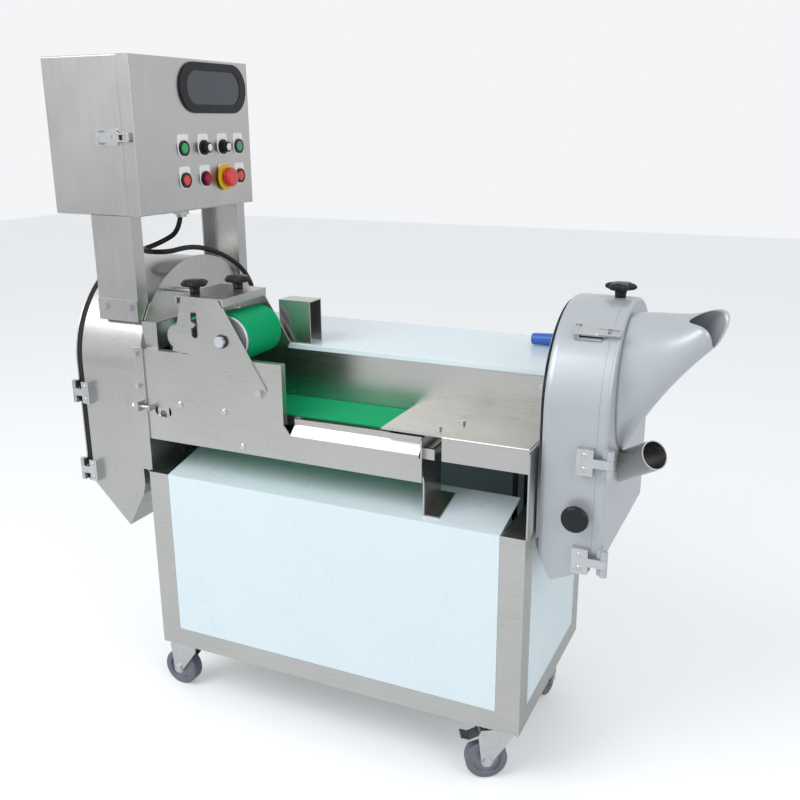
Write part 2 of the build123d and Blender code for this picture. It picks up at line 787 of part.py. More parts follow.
# Left cover: a dished plate with the black seal around its edge
left_cover_low = deck - 46
with BuildPart() as left_cover:
    cover_left = left_outer_x - running_gap - seal_width
    arch((cover_left - cover_sheet, cover_left), left_radius, left_shaft_z, left_cover_low)
    arch(
        (cover_left - cover_sheet - 6, cover_left - cover_sheet),
        left_radius - 26,
        left_shaft_z,
        left_cover_low + 26,
    )
    outer = left_cover.faces().sort_by(Axis.X)[0].edges()
    fillet(outer, 5)
    arch(
        (cover_left - cover_sheet - 3, cover_left + 1),
        left_radius - 29,
        left_shaft_z,
        left_cover_low + 29,
        Mode.SUBTRACT,
    )
    for height in left_hinge_heights:
        z = deck + height
        third = hinge_length / 3
        for low in (z - hinge_length / 2, z + third / 2 + running_gap):
            leaf_z = (low, low + third - running_gap)
            rod_z(left_hinge_x, left_hinge_y, leaf_z, hinge_radius)
            block(
                (left_hinge_x, cover_left),
                (left_hinge_y - hinge_radius, left_hinge_y - 2),
                leaf_z,
            )
            block(
                (cover_left - cover_sheet, cover_left),
                (left_hinge_y - hinge_radius, shaft_y - left_radius + 8),
                leaf_z,
            )
            bore = hinge_pin_radius + shaft_clearance
            rod_z(
                left_hinge_x,
                left_hinge_y,
                (leaf_z[0] - 1, leaf_z[1] + 1),
                bore,
                Mode.SUBTRACT,
            )
save(left_cover.part, "left_cover")
with BuildPart() as left_seal:
    seal_x = (cover_left, cover_left + seal_width)
    arch(seal_x, left_radius, left_shaft_z, left_cover_low)
    crown = left_seal.faces().sort_by(Axis.Z)[-1].edges().filter_by(GeomType.CIRCLE)
    fillet(crown, 4)
    arch(
        (seal_x[0] - 1, seal_x[1] + 1),
        left_radius - seal_depth,
        left_shaft_z,
        left_cover_low - 1,
        Mode.SUBTRACT,
    )
save(left_seal.part, "left_seal")

# Right cover: a pan with the openings for hopper and feed tube
right_cover_low = deck - 37
tube_direction = Vector(
    cos(radians(tube_rise)) * cos(radians(tube_lean)),
    -cos(radians(tube_rise)) * sin(radians(tube_lean)),
    sin(radians(tube_rise)),
)
tube_start = place(cover_x - 14, 158, deck + 92)
tube_plane = Plane(tube_start, x_dir=tube_direction.cross(Vector(0, 0, 1)), z_dir=tube_direction)
mouth_normal = Vector(0.18, -0.40, 0.89).normalized()
hopper_planes = (
    Plane(place(cover_x, hopper_y + 10, deck + 245), x_dir=(0, 1, 0), z_dir=(1, 0, 0)),
    Plane(
        place(cover_x + 53, hopper_y + 6, deck + 283),
        x_dir=(0, 1, 0),
        z_dir=(cos(radians(27)), 0, sin(radians(27))),
    ),
    Plane(
        place(cover_x + 116.75, hopper_y + 8, deck + 352),
        x_dir=Vector(0, 1, 0) - mouth_normal * mouth_normal.Y,
        z_dir=mouth_normal,
    ),
)
hopper_axes = ((88.0, 112.0), (84.0, 80.0), (64.0, 38.0))


# Latch planes on the root head's arch and on the control box's front side
latch_lean = atan2(shaft_y - 90, 132)
latch_plane = Plane(
    place(844, 90, deck + 347),
    x_dir=(1, 0, 0),
    z_dir=(0, -sin(latch_lean), cos(latch_lean)),
)
box_latch_plane = Plane(
    place(-65, box_front_y, deck + 657),
    x_dir=(1, 0, 0),
    z_dir=(0, -1, 0),
)


def catch(plane):
    """Low hook plate of a latch beyond the split line, clear under the bail."""
    with BuildSketch(plane.offset(-1.5)) as face:
        with Locations((70, 0)):
            Rectangle(16, 9)
    extrude(face.sketch, amount=7)


def hopper_loft(inset, mode=Mode.ADD):
    """Loft through the hopper's three oval sections, each inset by a wall."""
    sections = []
    for plane, (half_width, half_height) in zip(hopper_planes, hopper_axes):
        with BuildSketch(plane) as section:
            Ellipse(half_width - inset, half_height - inset)
        sections.append(section.sketch.faces()[0])
    loft(sections, mode=mode)


with BuildPart() as right_cover:
    rim_x = (right_outer_x + running_gap, cover_x)
    arch(rim_x, right_radius, right_shaft_z, right_cover_low)
    fillet(right_cover.faces().sort_by(Axis.X)[-1].edges(), 6)
    arch(
        (rim_x[0] - 1, cover_x - sheet),
        right_radius - sheet,
        right_shaft_z,
        right_cover_low + sheet,
        Mode.SUBTRACT,
    )
    with BuildSketch(side_plane(cover_x - sheet - 1)) as throat:
        with Locations((hopper_y + 10, deck + 245)):
            Ellipse(hopper_axes[0][0] - sheet, hopper_axes[0][1] - sheet)
    extrude(amount=sheet + 2, mode=Mode.SUBTRACT)
    with BuildSketch(tube_plane.offset(-30)) as tube_hole:
        Circle(tube_radius)
    extrude(amount=200, mode=Mode.SUBTRACT)
    for height in right_hinge_heights:
        z = deck + height
        third = hinge_length / 3
        for low in (z - hinge_length / 2, z + third / 2 + running_gap):
            leaf_z = (low, low + third - running_gap)
            rod_z(right_hinge_x, right_hinge_y, leaf_z, hinge_radius)
            block(
                (cover_x - sheet - 2, right_hinge_x),
                (right_hinge_y, right_hinge_y + 5),
                leaf_z,
            )
            block(
                (cover_x - sheet - 2, cover_x + 2),
                (right_hinge_y, shaft_y - right_radius + 14),
                leaf_z,
            )
            bore = hinge_pin_radius + shaft_clearance
            rod_z(
                right_hinge_x,
                right_hinge_y,
                (leaf_z[0] - 1, leaf_z[1] + 1),
                bore,
                Mode.SUBTRACT,
            )
    catch(latch_plane)
save(right_cover.part, "right_cover")

with BuildPart() as hopper:
    hopper_loft(0)
    hopper_loft(sheet, Mode.SUBTRACT)
    half_width, half_height = hopper_axes[-1]
    with BuildSketch(hopper_planes[-1]) as bead:
        Ellipse(half_width + 3, half_height + 3)
        Ellipse(half_width - sheet, half_height - sheet, mode=Mode.SUBTRACT)
    extrude(amount=4)
save(hopper.part, "hopper")

with BuildPart() as feed_tube:
    with BuildSketch(tube_plane) as ring:
        Circle(tube_radius)
        Circle(tube_radius - tube_wall, mode=Mode.SUBTRACT)
    extrude(amount=tube_length)
save(feed_tube.part, "feed_tube")


# Hinge leaves fixed to the heads, each with its pin
with BuildPart() as left_leaves:
    for height in left_hinge_heights:
        z = deck + height
        third = hinge_length / 3
        rod_z(
            left_hinge_x,
            left_hinge_y,
            (z - hinge_length / 2 - 1, z + hinge_length / 2 + 1),
            hinge_pin_radius,
        )
        rod_z(left_hinge_x, left_hinge_y, (z - third / 2, z + third / 2), hinge_radius)
        block(
            (left_hinge_x, left_outer_x + 20),
            (left_hinge_y - hinge_radius, left_hinge_y - 2),
            (z - third / 2, z + third / 2),
        )
        block(
            (left_outer_x + 2, left_outer_x + 20),
            (left_hinge_y - hinge_radius, shaft_y - left_radius),
            (z - hinge_length / 2, z + hinge_length / 2),
        )
with BuildPart() as right_leaves:
    for height in right_hinge_heights:
        z = deck + height
        third = hinge_length / 3
        rod_z(
            right_hinge_x,
            right_hinge_y,
            (z - hinge_length / 2 - 1, z + hinge_length / 2 + 1),
            hinge_pin_radius,
        )
        rod_z(right_hinge_x, right_hinge_y, (z - third / 2, z + third / 2), hinge_radius)
        block(
            (right_outer_x - 30, right_hinge_x),
            (right_hinge_y - hinge_radius, right_hinge_y - 2),
            (z - third / 2, z + third / 2),
        )
        block(
            (right_outer_x - 30, right_outer_x - 2),
            (right_hinge_y - hinge_radius, shaft_y - right_radius),
            (z - hinge_length / 2, z + hinge_length / 2),
        )

# Posts: folded channels seated on the leaf head's drum, with foot and top plates
post_parts = []
post_low = deck + 307
post_high = deck + box_low
for outer_y, inward in ((box_front_y, 1), (box_back_y, -1)):
    with BuildPart() as post:
        span = (post_x, post_x + post_width)
        depth = sorted((outer_y, outer_y + inward * post_depth))
        block(span, depth, (post_low, post_high))
        hollow = sorted((outer_y + inward * sheet, outer_y + inward * (post_depth + 1)))
        block(
            (span[0] + sheet, span[1] - sheet),
            hollow,
            (post_low - 1, post_high - sheet),
            Mode.SUBTRACT,
        )
        foot_plate = sorted((outer_y - inward * sheet, outer_y))
        block(span, foot_plate, (post_low, post_low + 42))
        arch(
            (span[0] - 1, span[1] + 1),
            left_radius + 0.01,
            left_shaft_z,
            left_shaft_z - 5,
            Mode.SUBTRACT,
        )
    post_parts.append(post.part)
save(Compound(children=post_parts), "posts")

# Control box body with its cable plate underneath
box_end = box_x + box_length
door_x = (box_end + running_gap, box_end + door_depth)
door_hinge_y = box_back_y + 6.0
door_hinge_x = box_end + 4.0
door_hinge_heights = (-100.0, 100.0)
door_middle = deck + (box_low + box_high) / 2
window_z = deck + window_height
with BuildPart() as control_box:
    block((box_x, box_end), (box_front_y, box_back_y), (post_high, deck + box_high))
    box_edges = control_box.edges().filter_by(Axis.X)
    fillet(box_edges, 3)
    block(
        (box_x + box_sheet, box_end + 1),
        (box_front_y + box_sheet, box_back_y - box_sheet),
        (post_high + box_sheet, deck + box_high - box_sheet),
        Mode.SUBTRACT,
    )
    block((-70, -20), (190, 250), (post_high - 1, post_high + box_sheet + 1), Mode.SUBTRACT)
    for z in door_hinge_heights:
        rise = door_middle + z
        rod_z(door_hinge_x, door_hinge_y, (rise - 30, rise - running_gap), 5)
        rod_z(door_hinge_x, door_hinge_y, (rise - 30, rise + 29), 2.5)
        leaf_z = (rise - 30, rise - running_gap)
        block((box_end - 20, box_end), (box_back_y - 1, door_hinge_y - 1), leaf_z)
        block((box_end - 1, door_hinge_x), (box_back_y + 0.5, door_hinge_y - 1), leaf_z)
with BuildPart() as gland_plate:
    block((-96, -12), (120, 340), (post_high - 5, post_high))
    rod_z(-45, 220, (post_high - 20, post_high - 5), 11)
    rod_z(-45, 220, (post_high - 28, post_high + 1), 6.3, Mode.SUBTRACT)
    hexagon(top_plane(post_high - 14), (-45, 220), 30, 9)
    rod_z(-45, 220, (post_high - 15, post_high - 4), 6.3, Mode.SUBTRACT)
save(Compound(children=[control_box.part, gland_plate.part]), "control_box")

# Control door: a pan with returned edges, hinged at the back
with BuildPart() as control_door:
    block(door_x, (box_front_y, box_back_y), (post_high, deck + box_high))
    fillet(control_door.faces().sort_by(Axis.X)[-1].edges(), 2)
    block(
        (door_x[0] - 1, door_x[1] - box_sheet),
        (box_front_y + box_sheet, box_back_y - box_sheet),
        (post_high + box_sheet, deck + box_high - box_sheet),
        Mode.SUBTRACT,
    )
    with BuildSketch(side_plane(door_x[1] - box_sheet - 1)) as door_holes:
        with Locations((window_y, window_z)):
            SlotOverall(window_width - 24, window_tall - 24)
        for z in button_rows:
            for y in button_columns:
                with Locations((y, deck + z)):
                    Circle(button_radius + 0.4)
    extrude(amount=box_sheet + 2, mode=Mode.SUBTRACT)
    for z in door_hinge_heights:
        rod_z(door_hinge_x, door_hinge_y, (door_middle + z, door_middle + z + 30), 5)
        block(
            (door_hinge_x, door_x[1] - 8),
            (box_back_y - 1, door_hinge_y - 1),
            (door_middle + z, door_middle + z + 30),
        )
        rod_z(
            door_hinge_x,
            door_hinge_y,
            (door_middle + z - 1, door_middle + z + 31),
            2.5 + shaft_clearance,
            Mode.SUBTRACT,
        )
    catch(box_latch_plane)

# Window: rounded black frame with its pane, and the bezels of the buttons below
with BuildPart() as window_frame:
    with BuildSketch(side_plane(door_x[1])) as frame_ring:
        with Locations((window_y, window_z)):
            SlotOverall(window_width, window_tall)
            SlotOverall(window_width - 46, window_tall - 32, mode=Mode.SUBTRACT)
    extrude(amount=5)
    fillet(window_frame.faces().sort_by(Axis.X)[-1].edges(), 1.5)
with BuildPart() as window_pane:
    with BuildSketch(side_plane(door_x[1] + 1)) as pane:
        with Locations((window_y, window_z)):
            SlotOverall(window_width - 46.2, window_tall - 32.2)
    extrude(amount=2)

# Push buttons, dials, lamp and emergency stop on the door
button_places = {
    "start_button_left": (button_columns[0], button_rows[0]),
    "start_button_right": (button_columns[3], button_rows[0]),
    "stop_button_left": (button_columns[0], button_rows[1]),
    "stop_button_right": (button_columns[3], button_rows[1]),
}
door_skin = door_x[1]
for name, (y, z) in button_places.items():
    with BuildPart() as button:
        rod_x((door_skin - 12, door_skin + 6), y, deck + z, button_radius - 0.5)
        crown = button.faces().sort_by(Axis.X)[-1].edges()
        fillet(crown, 2)
    save(button.part, name)
for name, y in (("speed_dial_left", button_columns[1]), ("speed_dial_right", button_columns[2])):
    with BuildPart() as dial:
        z = deck + button_rows[0]
        rod_x((door_skin + 5.3, door_skin + 17), y, z, 10.5)
        with BuildSketch(side_plane(door_skin + 5.3)) as flutes:
            with Locations((y, z)):
                with PolarLocations(11.6, 12):
                    Circle(1.8)
        extrude(amount=12, mode=Mode.SUBTRACT)
        rod_x((door_skin - 10, door_skin + 5.3), y, z, 3)
        rod_x((door_skin + 17, door_skin + 18), y, z, 7)
    save(dial.part, name)
stop_y, stop_z = button_columns[2], deck + button_rows[1]
with BuildPart() as emergency_stop:
    rod_x((door_skin - 12, door_skin + 22), stop_y, stop_z, button_radius - 2)
    rod_x((door_skin + 14, door_skin + 26), stop_y, stop_z, 20)
    fillet(emergency_stop.faces().sort_by(Axis.X)[-1].edges(), 6)
save(emergency_stop.part, "emergency_stop")
bezels = []
for z in button_rows:
    for y in button_columns:
        with BuildPart() as bezel:
            at = (y, deck + z)
            rod_x((door_skin, door_skin + 5), *at, bezel_radius)
            bore = button_radius
            if z == button_rows[0] and y in button_columns[1:3]:
                bore = 3 + shaft_clearance
            if (y, z) == (button_columns[1], button_rows[1]):
                rod_x((door_skin + 5, door_skin + 11), *at, 11)
                fillet(bezel.faces().sort_by(Axis.X)[-1].edges(), 3)
            else:
                rod_x((door_skin - 1, door_skin + 6), *at, bore, Mode.SUBTRACT)
        bezels.append(bezel.part)
with BuildPart() as stop_plate:
    rod_x((door_skin + 5, door_skin + 6.5), stop_y, stop_z, 27)
    rod_x((door_skin + 4, door_skin + 7), stop_y, stop_z, button_radius, Mode.SUBTRACT)
save(control_door.part, "control_door")
door_fittings = Compound(
    children=[window_frame.part, window_pane.part, stop_plate.part, *bezels]
)
save(door_fittings, "door_fittings")

# Press unit: a folded bracket over the trough, tied to the guard by a rod
press_z = deck + press_roller_height
pin_x = 138.0
pin_z = deck + 318
pin_radius = 3.0
small_x = press_roller_x - press_reach
small_z = deck + 285
bridge_x = (98.0, 206.0)
knob_places = ((115.0, 40.0), (162.0, 116.0))
with BuildPart() as press_bracket:
    upper = (
        (83, deck + 262),
        (112, deck + press_top),
        (194, deck + press_top),
    )
    front_foot = ((293, deck + 206), (280, deck + 187), (165, deck + 254))
    rear_foot = ((258, deck + 264), (252, deck + 252), (165, deck + 252))
    sheet_y((*upper, *front_foot), (0, sheet))
    sheet_y((*upper, *rear_foot), (rear_wall_y - 5, rear_wall_y - 2))
    bridge_y = (1, rear_wall_y - 3)
    block(bridge_x, bridge_y, (deck + press_top - sheet, deck + press_top))
    block((bridge_x[1] - sheet, bridge_x[1]), bridge_y, (deck + press_top - 15, deck + press_top))
    block((bridge_x[0], bridge_x[0] + sheet), bridge_y, (deck + press_top - 15, deck + press_top))
    bracket_y = (-1, rear_wall_y)
    rod_y(press_roller_x, bracket_y, press_z, 8 + shaft_clearance, Mode.SUBTRACT)
    with BuildSketch(front_plane(rear_wall_y)) as slots:
        with Locations((pin_x, deck + 317)):
            SlotOverall(52, 14, rotation=90)
    extrude(amount=rear_wall_y + 1, mode=Mode.SUBTRACT)
    for x, y in knob_places:
        rod_z(x, y, (deck + press_top - 4, deck + press_top + 1), 5 + shaft_clearance, Mode.SUBTRACT)
with BuildPart() as press_washer:
    rod_y(press_roller_x, (-3, 0), press_z, 13)
    rod_y(press_roller_x, (-4, 1), press_z, 8 + shaft_clearance, Mode.SUBTRACT)
with BuildPart() as tie_rod:
    rod_x((0, bridge_x[0]), 100, deck + press_top - 9, 5)
with BuildPart() as press_guard:
    guard_z = (deck + rear_wall_height + 2.2, deck + 346)
    block((230, 300), (155, 200), guard_z)
    block((232, 301), (157, 198), (guard_z[0] - 1, guard_z[1] - 2), Mode.SUBTRACT)
press_frame = Compound(
    children=[press_bracket.part, press_washer.part, tie_rod.part, press_guard.part]
)
save(press_frame, "press_frame")

# Press carriage: two arms that swing about the press roller's shaft, with a small roller
belt_span = (24.0, 132.0)
with BuildPart() as press_carriage:
    for y in (belt_span[0] - 10, belt_span[1] + 6):
        arm_outline = (
            (press_roller_x + 12, press_z - 12),
            (press_roller_x + 12, press_z + 12),
            (pin_x + 2, pin_z + 9),
            (pin_x - 12, pin_z + 6),
            (small_x - 10, small_z + 10),
            (small_x - 10, small_z - 10),
        )
        sheet_y(arm_outline, (y, y + 4))
    rod_y(148, (belt_span[0] - 8, belt_span[1] + 8), press_z - 2, 8)
    rod_y(small_x, (belt_span[0] - 10, belt_span[1] + 10), small_z, 6)
    rod_y(small_x, (belt_span[0] - 5, belt_span[1] + 5), small_z, press_small_radius)
    for pin_y in ((-4, belt_span[0] - 8), (belt_span[1] + 8, rear_wall_y - 0.6)):
        rod_y(pin_x, pin_y, pin_z, pin_radius)
    rod_y(pin_x, (-7, -0.5), pin_z, 5.5)
    rod_y(
        press_roller_x,
        (belt_span[0] - 11, belt_span[1] + 11),
        press_z,
        8 + shaft_clearance,
        Mode.SUBTRACT,
    )
save(press_carriage.part, "press_carriage")

press_centres = hypot(small_x - press_roller_x, small_z - press_z)
with BuildPart() as press_belt:
    for grow, mode in ((running_gap + belt_sheet, Mode.ADD), (running_gap, Mode.SUBTRACT)):
        for x, z, radius in (
            (press_roller_x, press_z, press_roller_radius + grow),
            (small_x, small_z, press_small_radius + grow),
        ):
            rod_y(x, belt_span, z, radius, mode)
        slope = atan2(small_z - press_z, small_x - press_roller_x)
        wrap = asin((press_roller_radius - press_small_radius) / press_centres)
        corners = []
        for side in (1, -1):
            angle = slope + side * (pi / 2 + wrap)
            for x, z, radius in (
                (press_roller_x, press_z, press_roller_radius + grow),
                (small_x, small_z, press_small_radius + grow),
            )[::side]:
                corners.append((x + radius * cos(angle), z + radius * sin(angle)))
        sheet_y(corners, belt_span, mode)
save(press_belt.part, "press_belt")

with BuildPart() as press_roller:
    rod_y(press_roller_x, (belt_span[0] - 5, belt_span[1] + 5), press_z, press_roller_radius)
    chamfer(press_roller.edges().filter_by(GeomType.CIRCLE), 2)
    rod_y(press_roller_x, (-4, rear_wall_y), press_z, 8)
    hexagon(front_plane(-3.3), (press_roller_x, press_z), 19, 8)
save(press_roller.part, "press_roller")


def star_knob(plane, stud):
    """Lobed clamping knob standing on a plane, with a stud below it."""
    with BuildSketch(plane) as stem:
        Circle(10)
    extrude(stem.sketch, amount=16)
    with BuildSketch(plane) as thread:
        Circle(5)
    extrude(thread.sketch, amount=-stud)
    with BuildSketch(plane.offset(13)) as head:
        Circle(0.72 * knob_radius)
        with PolarLocations(0.7 * knob_radius, 6):
            Circle(0.3 * knob_radius)
    extrude(head.sketch, amount=13)


knob_planes = {
    "press_knob_front": (Plane(place(*knob_places[0], deck + press_top + running_gap)), 14),
    "press_knob_rear": (Plane(place(*knob_places[1], deck + press_top + running_gap)), 14),
    "top_knob": (Plane(place(892, shaft_y, deck + 390 + running_gap)), 6),
    "front_knob": (
        Plane(
            place(879, shaft_y - right_radius - running_gap, deck + 49),
            x_dir=(1, 0, 0),
            z_dir=(0, -1, 0),
        ),
        14,
    ),
}
for name, (plane, stud) in knob_planes.items():
    with BuildPart() as knob:
        star_knob(plane, stud)
        outer = knob.faces().filter_by(GeomType.PLANE).sort_by(Axis(plane.origin, plane.z_dir))[-1]
        fillet(outer.edges(), 4)
    save(knob.part, name)

# Latches: a lever on a fixed base, hooked over a catch on the cover or door
latch_bases = []
latch_pivot = 6.0
for plane, name in ((latch_plane, "right_latch"), (box_latch_plane, "box_latch")):
    with BuildPart() as base:
        with BuildSketch(plane) as foot:
            with Locations((24, 0)):
                RectangleRounded(48, 30, 3)
        extrude(foot.sketch, amount=2.5)
        with BuildSketch(plane) as ears:
            with Locations((latch_pivot, 11), (latch_pivot, -11)):
                Rectangle(10, 3)
        extrude(ears.sketch, amount=12)
        bore_at = plane.from_local_coords(Vector(latch_pivot, -14, 8.5))
        with BuildSketch(Plane(bore_at, x_dir=plane.x_dir, z_dir=plane.y_dir)) as bore:
            Circle(2 + shaft_clearance)
        extrude(bore.sketch, amount=28, mode=Mode.SUBTRACT)
    latch_bases.append(base.part)
    with BuildPart() as lever:
        pin_at = plane.from_local_coords(Vector(latch_pivot, -13.5, 8.5))
        with BuildSketch(Plane(pin_at, x_dir=plane.x_dir, z_dir=plane.y_dir)) as pin:
            Circle(2)
        extrude(pin.sketch, amount=27)
        with BuildSketch(plane.offset(5)) as handle:
            with Locations((29, 0)):
                RectangleRounded(54, 18, 5)
        extrude(handle.sketch, amount=3.5)
        with BuildSketch(plane.offset(6.5)) as bail:
            with Locations((58, 0)):
                RectangleRounded(42, 16, 4)
                RectangleRounded(36, 10, 2, mode=Mode.SUBTRACT)
        extrude(bail.sketch, amount=3)
    save(lever.part, name)

cover_fittings = Compound(children=[left_leaves.part, right_leaves.part, *latch_bases])
save(cover_fittings, "cover_fittings")

# Bolts: hexagon heads seated on the sheets they hold
bolt_parts = []
front_bolts = (
    (post_x + 18, 12, post_low + 28, 13),
    (post_x + 79, 12, post_low + 28, 13),
    (-8, 0, deck + 247, 10),
    (-8, 0, deck + 182, 10),
    (277, 0, deck + 199, 13),
    (775, rear_wall_y - sheet, deck + 232, 10),
    (775, rear_wall_y - sheet, deck + 182, 10),
)
back_bolts = (
    (post_x + 18, box_back_y + sheet, post_low + 28, 13),
    (post_x + 79, box_back_y + sheet, post_low + 28, 13),
)
top_bolts = ((623, 40, table_z), (650, 85, table_z))
head = 6.0
for x, y, z, across in front_bolts:
    with BuildPart() as bolt:
        hexagon(front_plane(y), (x, z), across, head)
    bolt_parts.append(bolt.part)
for x, y, z, across in back_bolts:
    with BuildPart() as bolt:
        hexagon(front_plane(y + head), (x, z), across, head)
    bolt_parts.append(bolt.part)
for x, y, z in top_bolts:
    with BuildPart() as bolt:
        hexagon(top_plane(z), (x, y), 10, head)
    bolt_parts.append(bolt.part)
for x, height in ((88, 152), (192, 150), (231, 85)):
    with BuildPart() as bolt:
        rod_y(x, (trough_y - 3, trough_y), deck + height, 7)
        chamfer(bolt.faces().sort_by(Axis.Y)[0].edges(), 1.5)
    bolt_parts.append(bolt.part)
save(Compound(children=bolt_parts), "bolts")

# Pusher: a tapered handle lying loose on the top cover
pusher_length = 100.0
with BuildPart() as pusher:
    with BuildSketch(side_plane(700)) as small_end:
        with Locations((330, cover_top + panel_sheet + 12)):
            Circle(11)
    with BuildSketch(side_plane(700 + pusher_length)) as big_end:
        with Locations((330, cover_top + panel_sheet + 14)):
            Circle(14)
    loft([small_end.sketch.faces()[0], big_end.sketch.faces()[0]])
    fillet(pusher.edges(), 3)
save(pusher.part, "pusher")

# Castors: a plate with a king pin, a swivelling fork and a wheel on a bolt
fork_top = castor_height - castor_plate_thickness
king_radius = 7.0
leg_gap = wheel_width / 2 + 2.0
castors = {
    "front_left": (castor_inset, castor_inset, 180),
    "front_right": (cabinet_length - castor_inset, castor_inset, 210),
    "rear_left": (castor_inset, cabinet_depth - castor_inset, 100),
    "rear_right": (cabinet_length - castor_inset, cabinet_depth - castor_inset, 265),
}
pedal_x = 40.0
pedal_z = 96.0
plates = []
for name, (x, y, azimuth) in castors.items():
    with BuildPart() as castor_plate_part:
        edge = castor_plate / 2
        block((x - edge, x + edge), (y - edge, y + edge), (fork_top, castor_height))
        fillet(castor_plate_part.edges().filter_by(Axis.Z), 6)
        rod_z(x, y, (fork_top - 17, fork_top), king_radius)
        rod_z(x, y, (fork_top - 17, fork_top - 12.3), king_radius + 5)
        for along in (-25, 25):
            for across in (-25, 25):
                rod_z(x + along, y + across, (fork_top - 3.5, fork_top), 5)
    plates.append(castor_plate_part.part)
    turn = Location(place(x, y, 0), (0, 0, azimuth))
    with BuildPart() as fork:
        with BuildSketch(Plane.XY.offset(fork_top - 12)) as crown:
            Circle(20)
            with Locations((10, 0)):
                Rectangle(20, 2 * (leg_gap + fork_sheet))
        extrude(amount=4)
        with BuildSketch(Plane.XY.offset(fork_top - 8)) as race:
            Circle(18)
        extrude(amount=8 - running_gap)
        for side in (-1, 1):
            low = leg_gap if side > 0 else -leg_gap - fork_sheet
            with BuildSketch(Plane.XZ.offset(-low - fork_sheet)) as leg:
                with BuildLine():
                    Polyline(
                        (-16, fork_top - 8),
                        (44, fork_top - 8),
                        (50, fork_top - 20),
                        (castor_trail + 11, wheel_radius),
                        (castor_trail - 11, wheel_radius),
                        (-16, fork_top - 26),
                        close=True,
                    )
                make_face()
                with Locations((castor_trail, wheel_radius)):
                    Circle(11)
            extrude(amount=fork_sheet)
        with BuildSketch(Plane.XZ.offset(-leg_gap - fork_sheet - 4)) as axle:
            with Locations((castor_trail, wheel_radius)):
                Circle(axle_radius)
        extrude(amount=2 * (leg_gap + fork_sheet + 4))
        for face_y in (leg_gap + fork_sheet, -leg_gap - fork_sheet - 4):
            with BuildSketch(Plane.XZ.offset(-face_y - 4)) as nut:
                with Locations((castor_trail, wheel_radius)):
                    RegularPolygon(8, 6, major_radius=False)
            extrude(amount=4)
        if name == "front_right":
            with BuildSketch(Plane.XZ.offset(-leg_gap - fork_sheet - 1)) as pedal_pin:
                with Locations((pedal_x, pedal_z)):
                    Circle(3)
            extrude(amount=2 * (leg_gap + fork_sheet + 1))
        with BuildSketch(Plane.XY.offset(fork_top - 20)) as king_bore:
            Circle(king_radius + shaft_clearance)
        extrude(amount=21, mode=Mode.SUBTRACT)
        with BuildSketch(Plane.XY.offset(fork_top - 20)) as king_recess:
            Circle(king_radius + 5 + 0.3)
        extrude(amount=8, mode=Mode.SUBTRACT)
    save(fork.part.moved(turn), f"castor_fork_{name}")
    with BuildPart() as wheel:
        with BuildSketch(Plane.XZ.offset(-wheel_width / 2)) as disc:
            with Locations((castor_trail, wheel_radius)):
                Circle(wheel_radius)
        extrude(amount=wheel_width)
        fillet(wheel.edges(), 4)
        for face_y in (wheel_width / 2, -wheel_width / 2 + 7):
            with BuildSketch(Plane.XZ.offset(-face_y)) as recess:
                with Locations((castor_trail, wheel_radius)):
                    Circle(28)
                    Circle(12, mode=Mode.SUBTRACT)
            extrude(amount=7, mode=Mode.SUBTRACT)
        with BuildSketch(Plane.XZ.offset(-wheel_width)) as bore:
            with Locations((castor_trail, wheel_radius)):
                Circle(axle_radius + shaft_clearance)
        extrude(amount=2 * wheel_width, mode=Mode.SUBTRACT)
    save(wheel.part.moved(turn), f"castor_wheel_{name}")
save(Compound(children=plates), "castor_plates")

# Brake pedal of the front right castor, pivoted between the fork's legs
with BuildPart() as brake_pedal:
    with BuildSketch(Plane.XZ.offset(-leg_gap + 0.4)) as hub:
        with Locations((pedal_x, pedal_z)):
            Circle(6)
    extrude(amount=2 * leg_gap - 0.8)
    with BuildSketch(Plane.XZ.offset(-leg_gap + 1)) as lever:
        with BuildLine():
            Polyline(
                (pedal_x, pedal_z - 4),
                (66, 84),
                (82, 90),
                (81, 93),
                (66, 88),
                (pedal_x, pedal_z + 4),
                close=True,
            )
        make_face()
    extrude(amount=2 * leg_gap - 2)
    with BuildSketch(Plane.XZ.offset(-leg_gap - 2)) as pedal_bore:
        with Locations((pedal_x, pedal_z)):
            Circle(3 + shaft_clearance)
    extrude(amount=2 * leg_gap + 4, mode=Mode.SUBTRACT)
fork_turn = Location(place(*castors["front_right"][:2], 0), (0, 0, castors["front_right"][2]))
save(brake_pedal.part.moved(fork_turn), "brake_pedal")

# Control cable: one cord from the gland, looped on the drum, down into the top cover
cable_route = (
    (-45, 220, 523),
    (-45, 220, 465),
    (-88, 192, 436),
    (-86, 122, 430),
    (-12, 122, 430),
    (-12, 192, 434),
    (-10, 252, 424),
    (0, 306, 402),
    (12, 348, 372),
    (22, 372, 330),
    (25, 374, 285),
    (24, 372, 243),
)
cable_points = [place(x, y, deck + z) for x, y, z in cable_route]
cable_radii = []
for before, at, after in zip(cable_points, cable_points[1:], cable_points[2:]):
    back = at - before
    ahead = after - at
    half_turn = radians(back.get_angle(ahead)) / 2
    cable_radii.append(0.45 * min(back.length, ahead.length) / tan(half_turn))
with BuildPart() as control_cable:
    with BuildLine() as route:
        FilletPolyline(*cable_points, radius=cable_radii)
    cable_line = route.wires()[0]
    start = Plane(origin=cable_line @ 0, z_dir=cable_line % 0)
    with BuildSketch(start) as section:
        Circle(cable_radius)
    sweep(path=cable_line)
expected = pi * cable_radius**2 * cable_line.length
print("cable radii", [round(radius, 1) for radius in cable_radii])
print("cable length", round(cable_line.length, 1))
print("cable volume", round(control_cable.part.volume), "expected", round(expected))
save(control_cable.part, "control_cable")
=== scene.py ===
# %% [markdown]
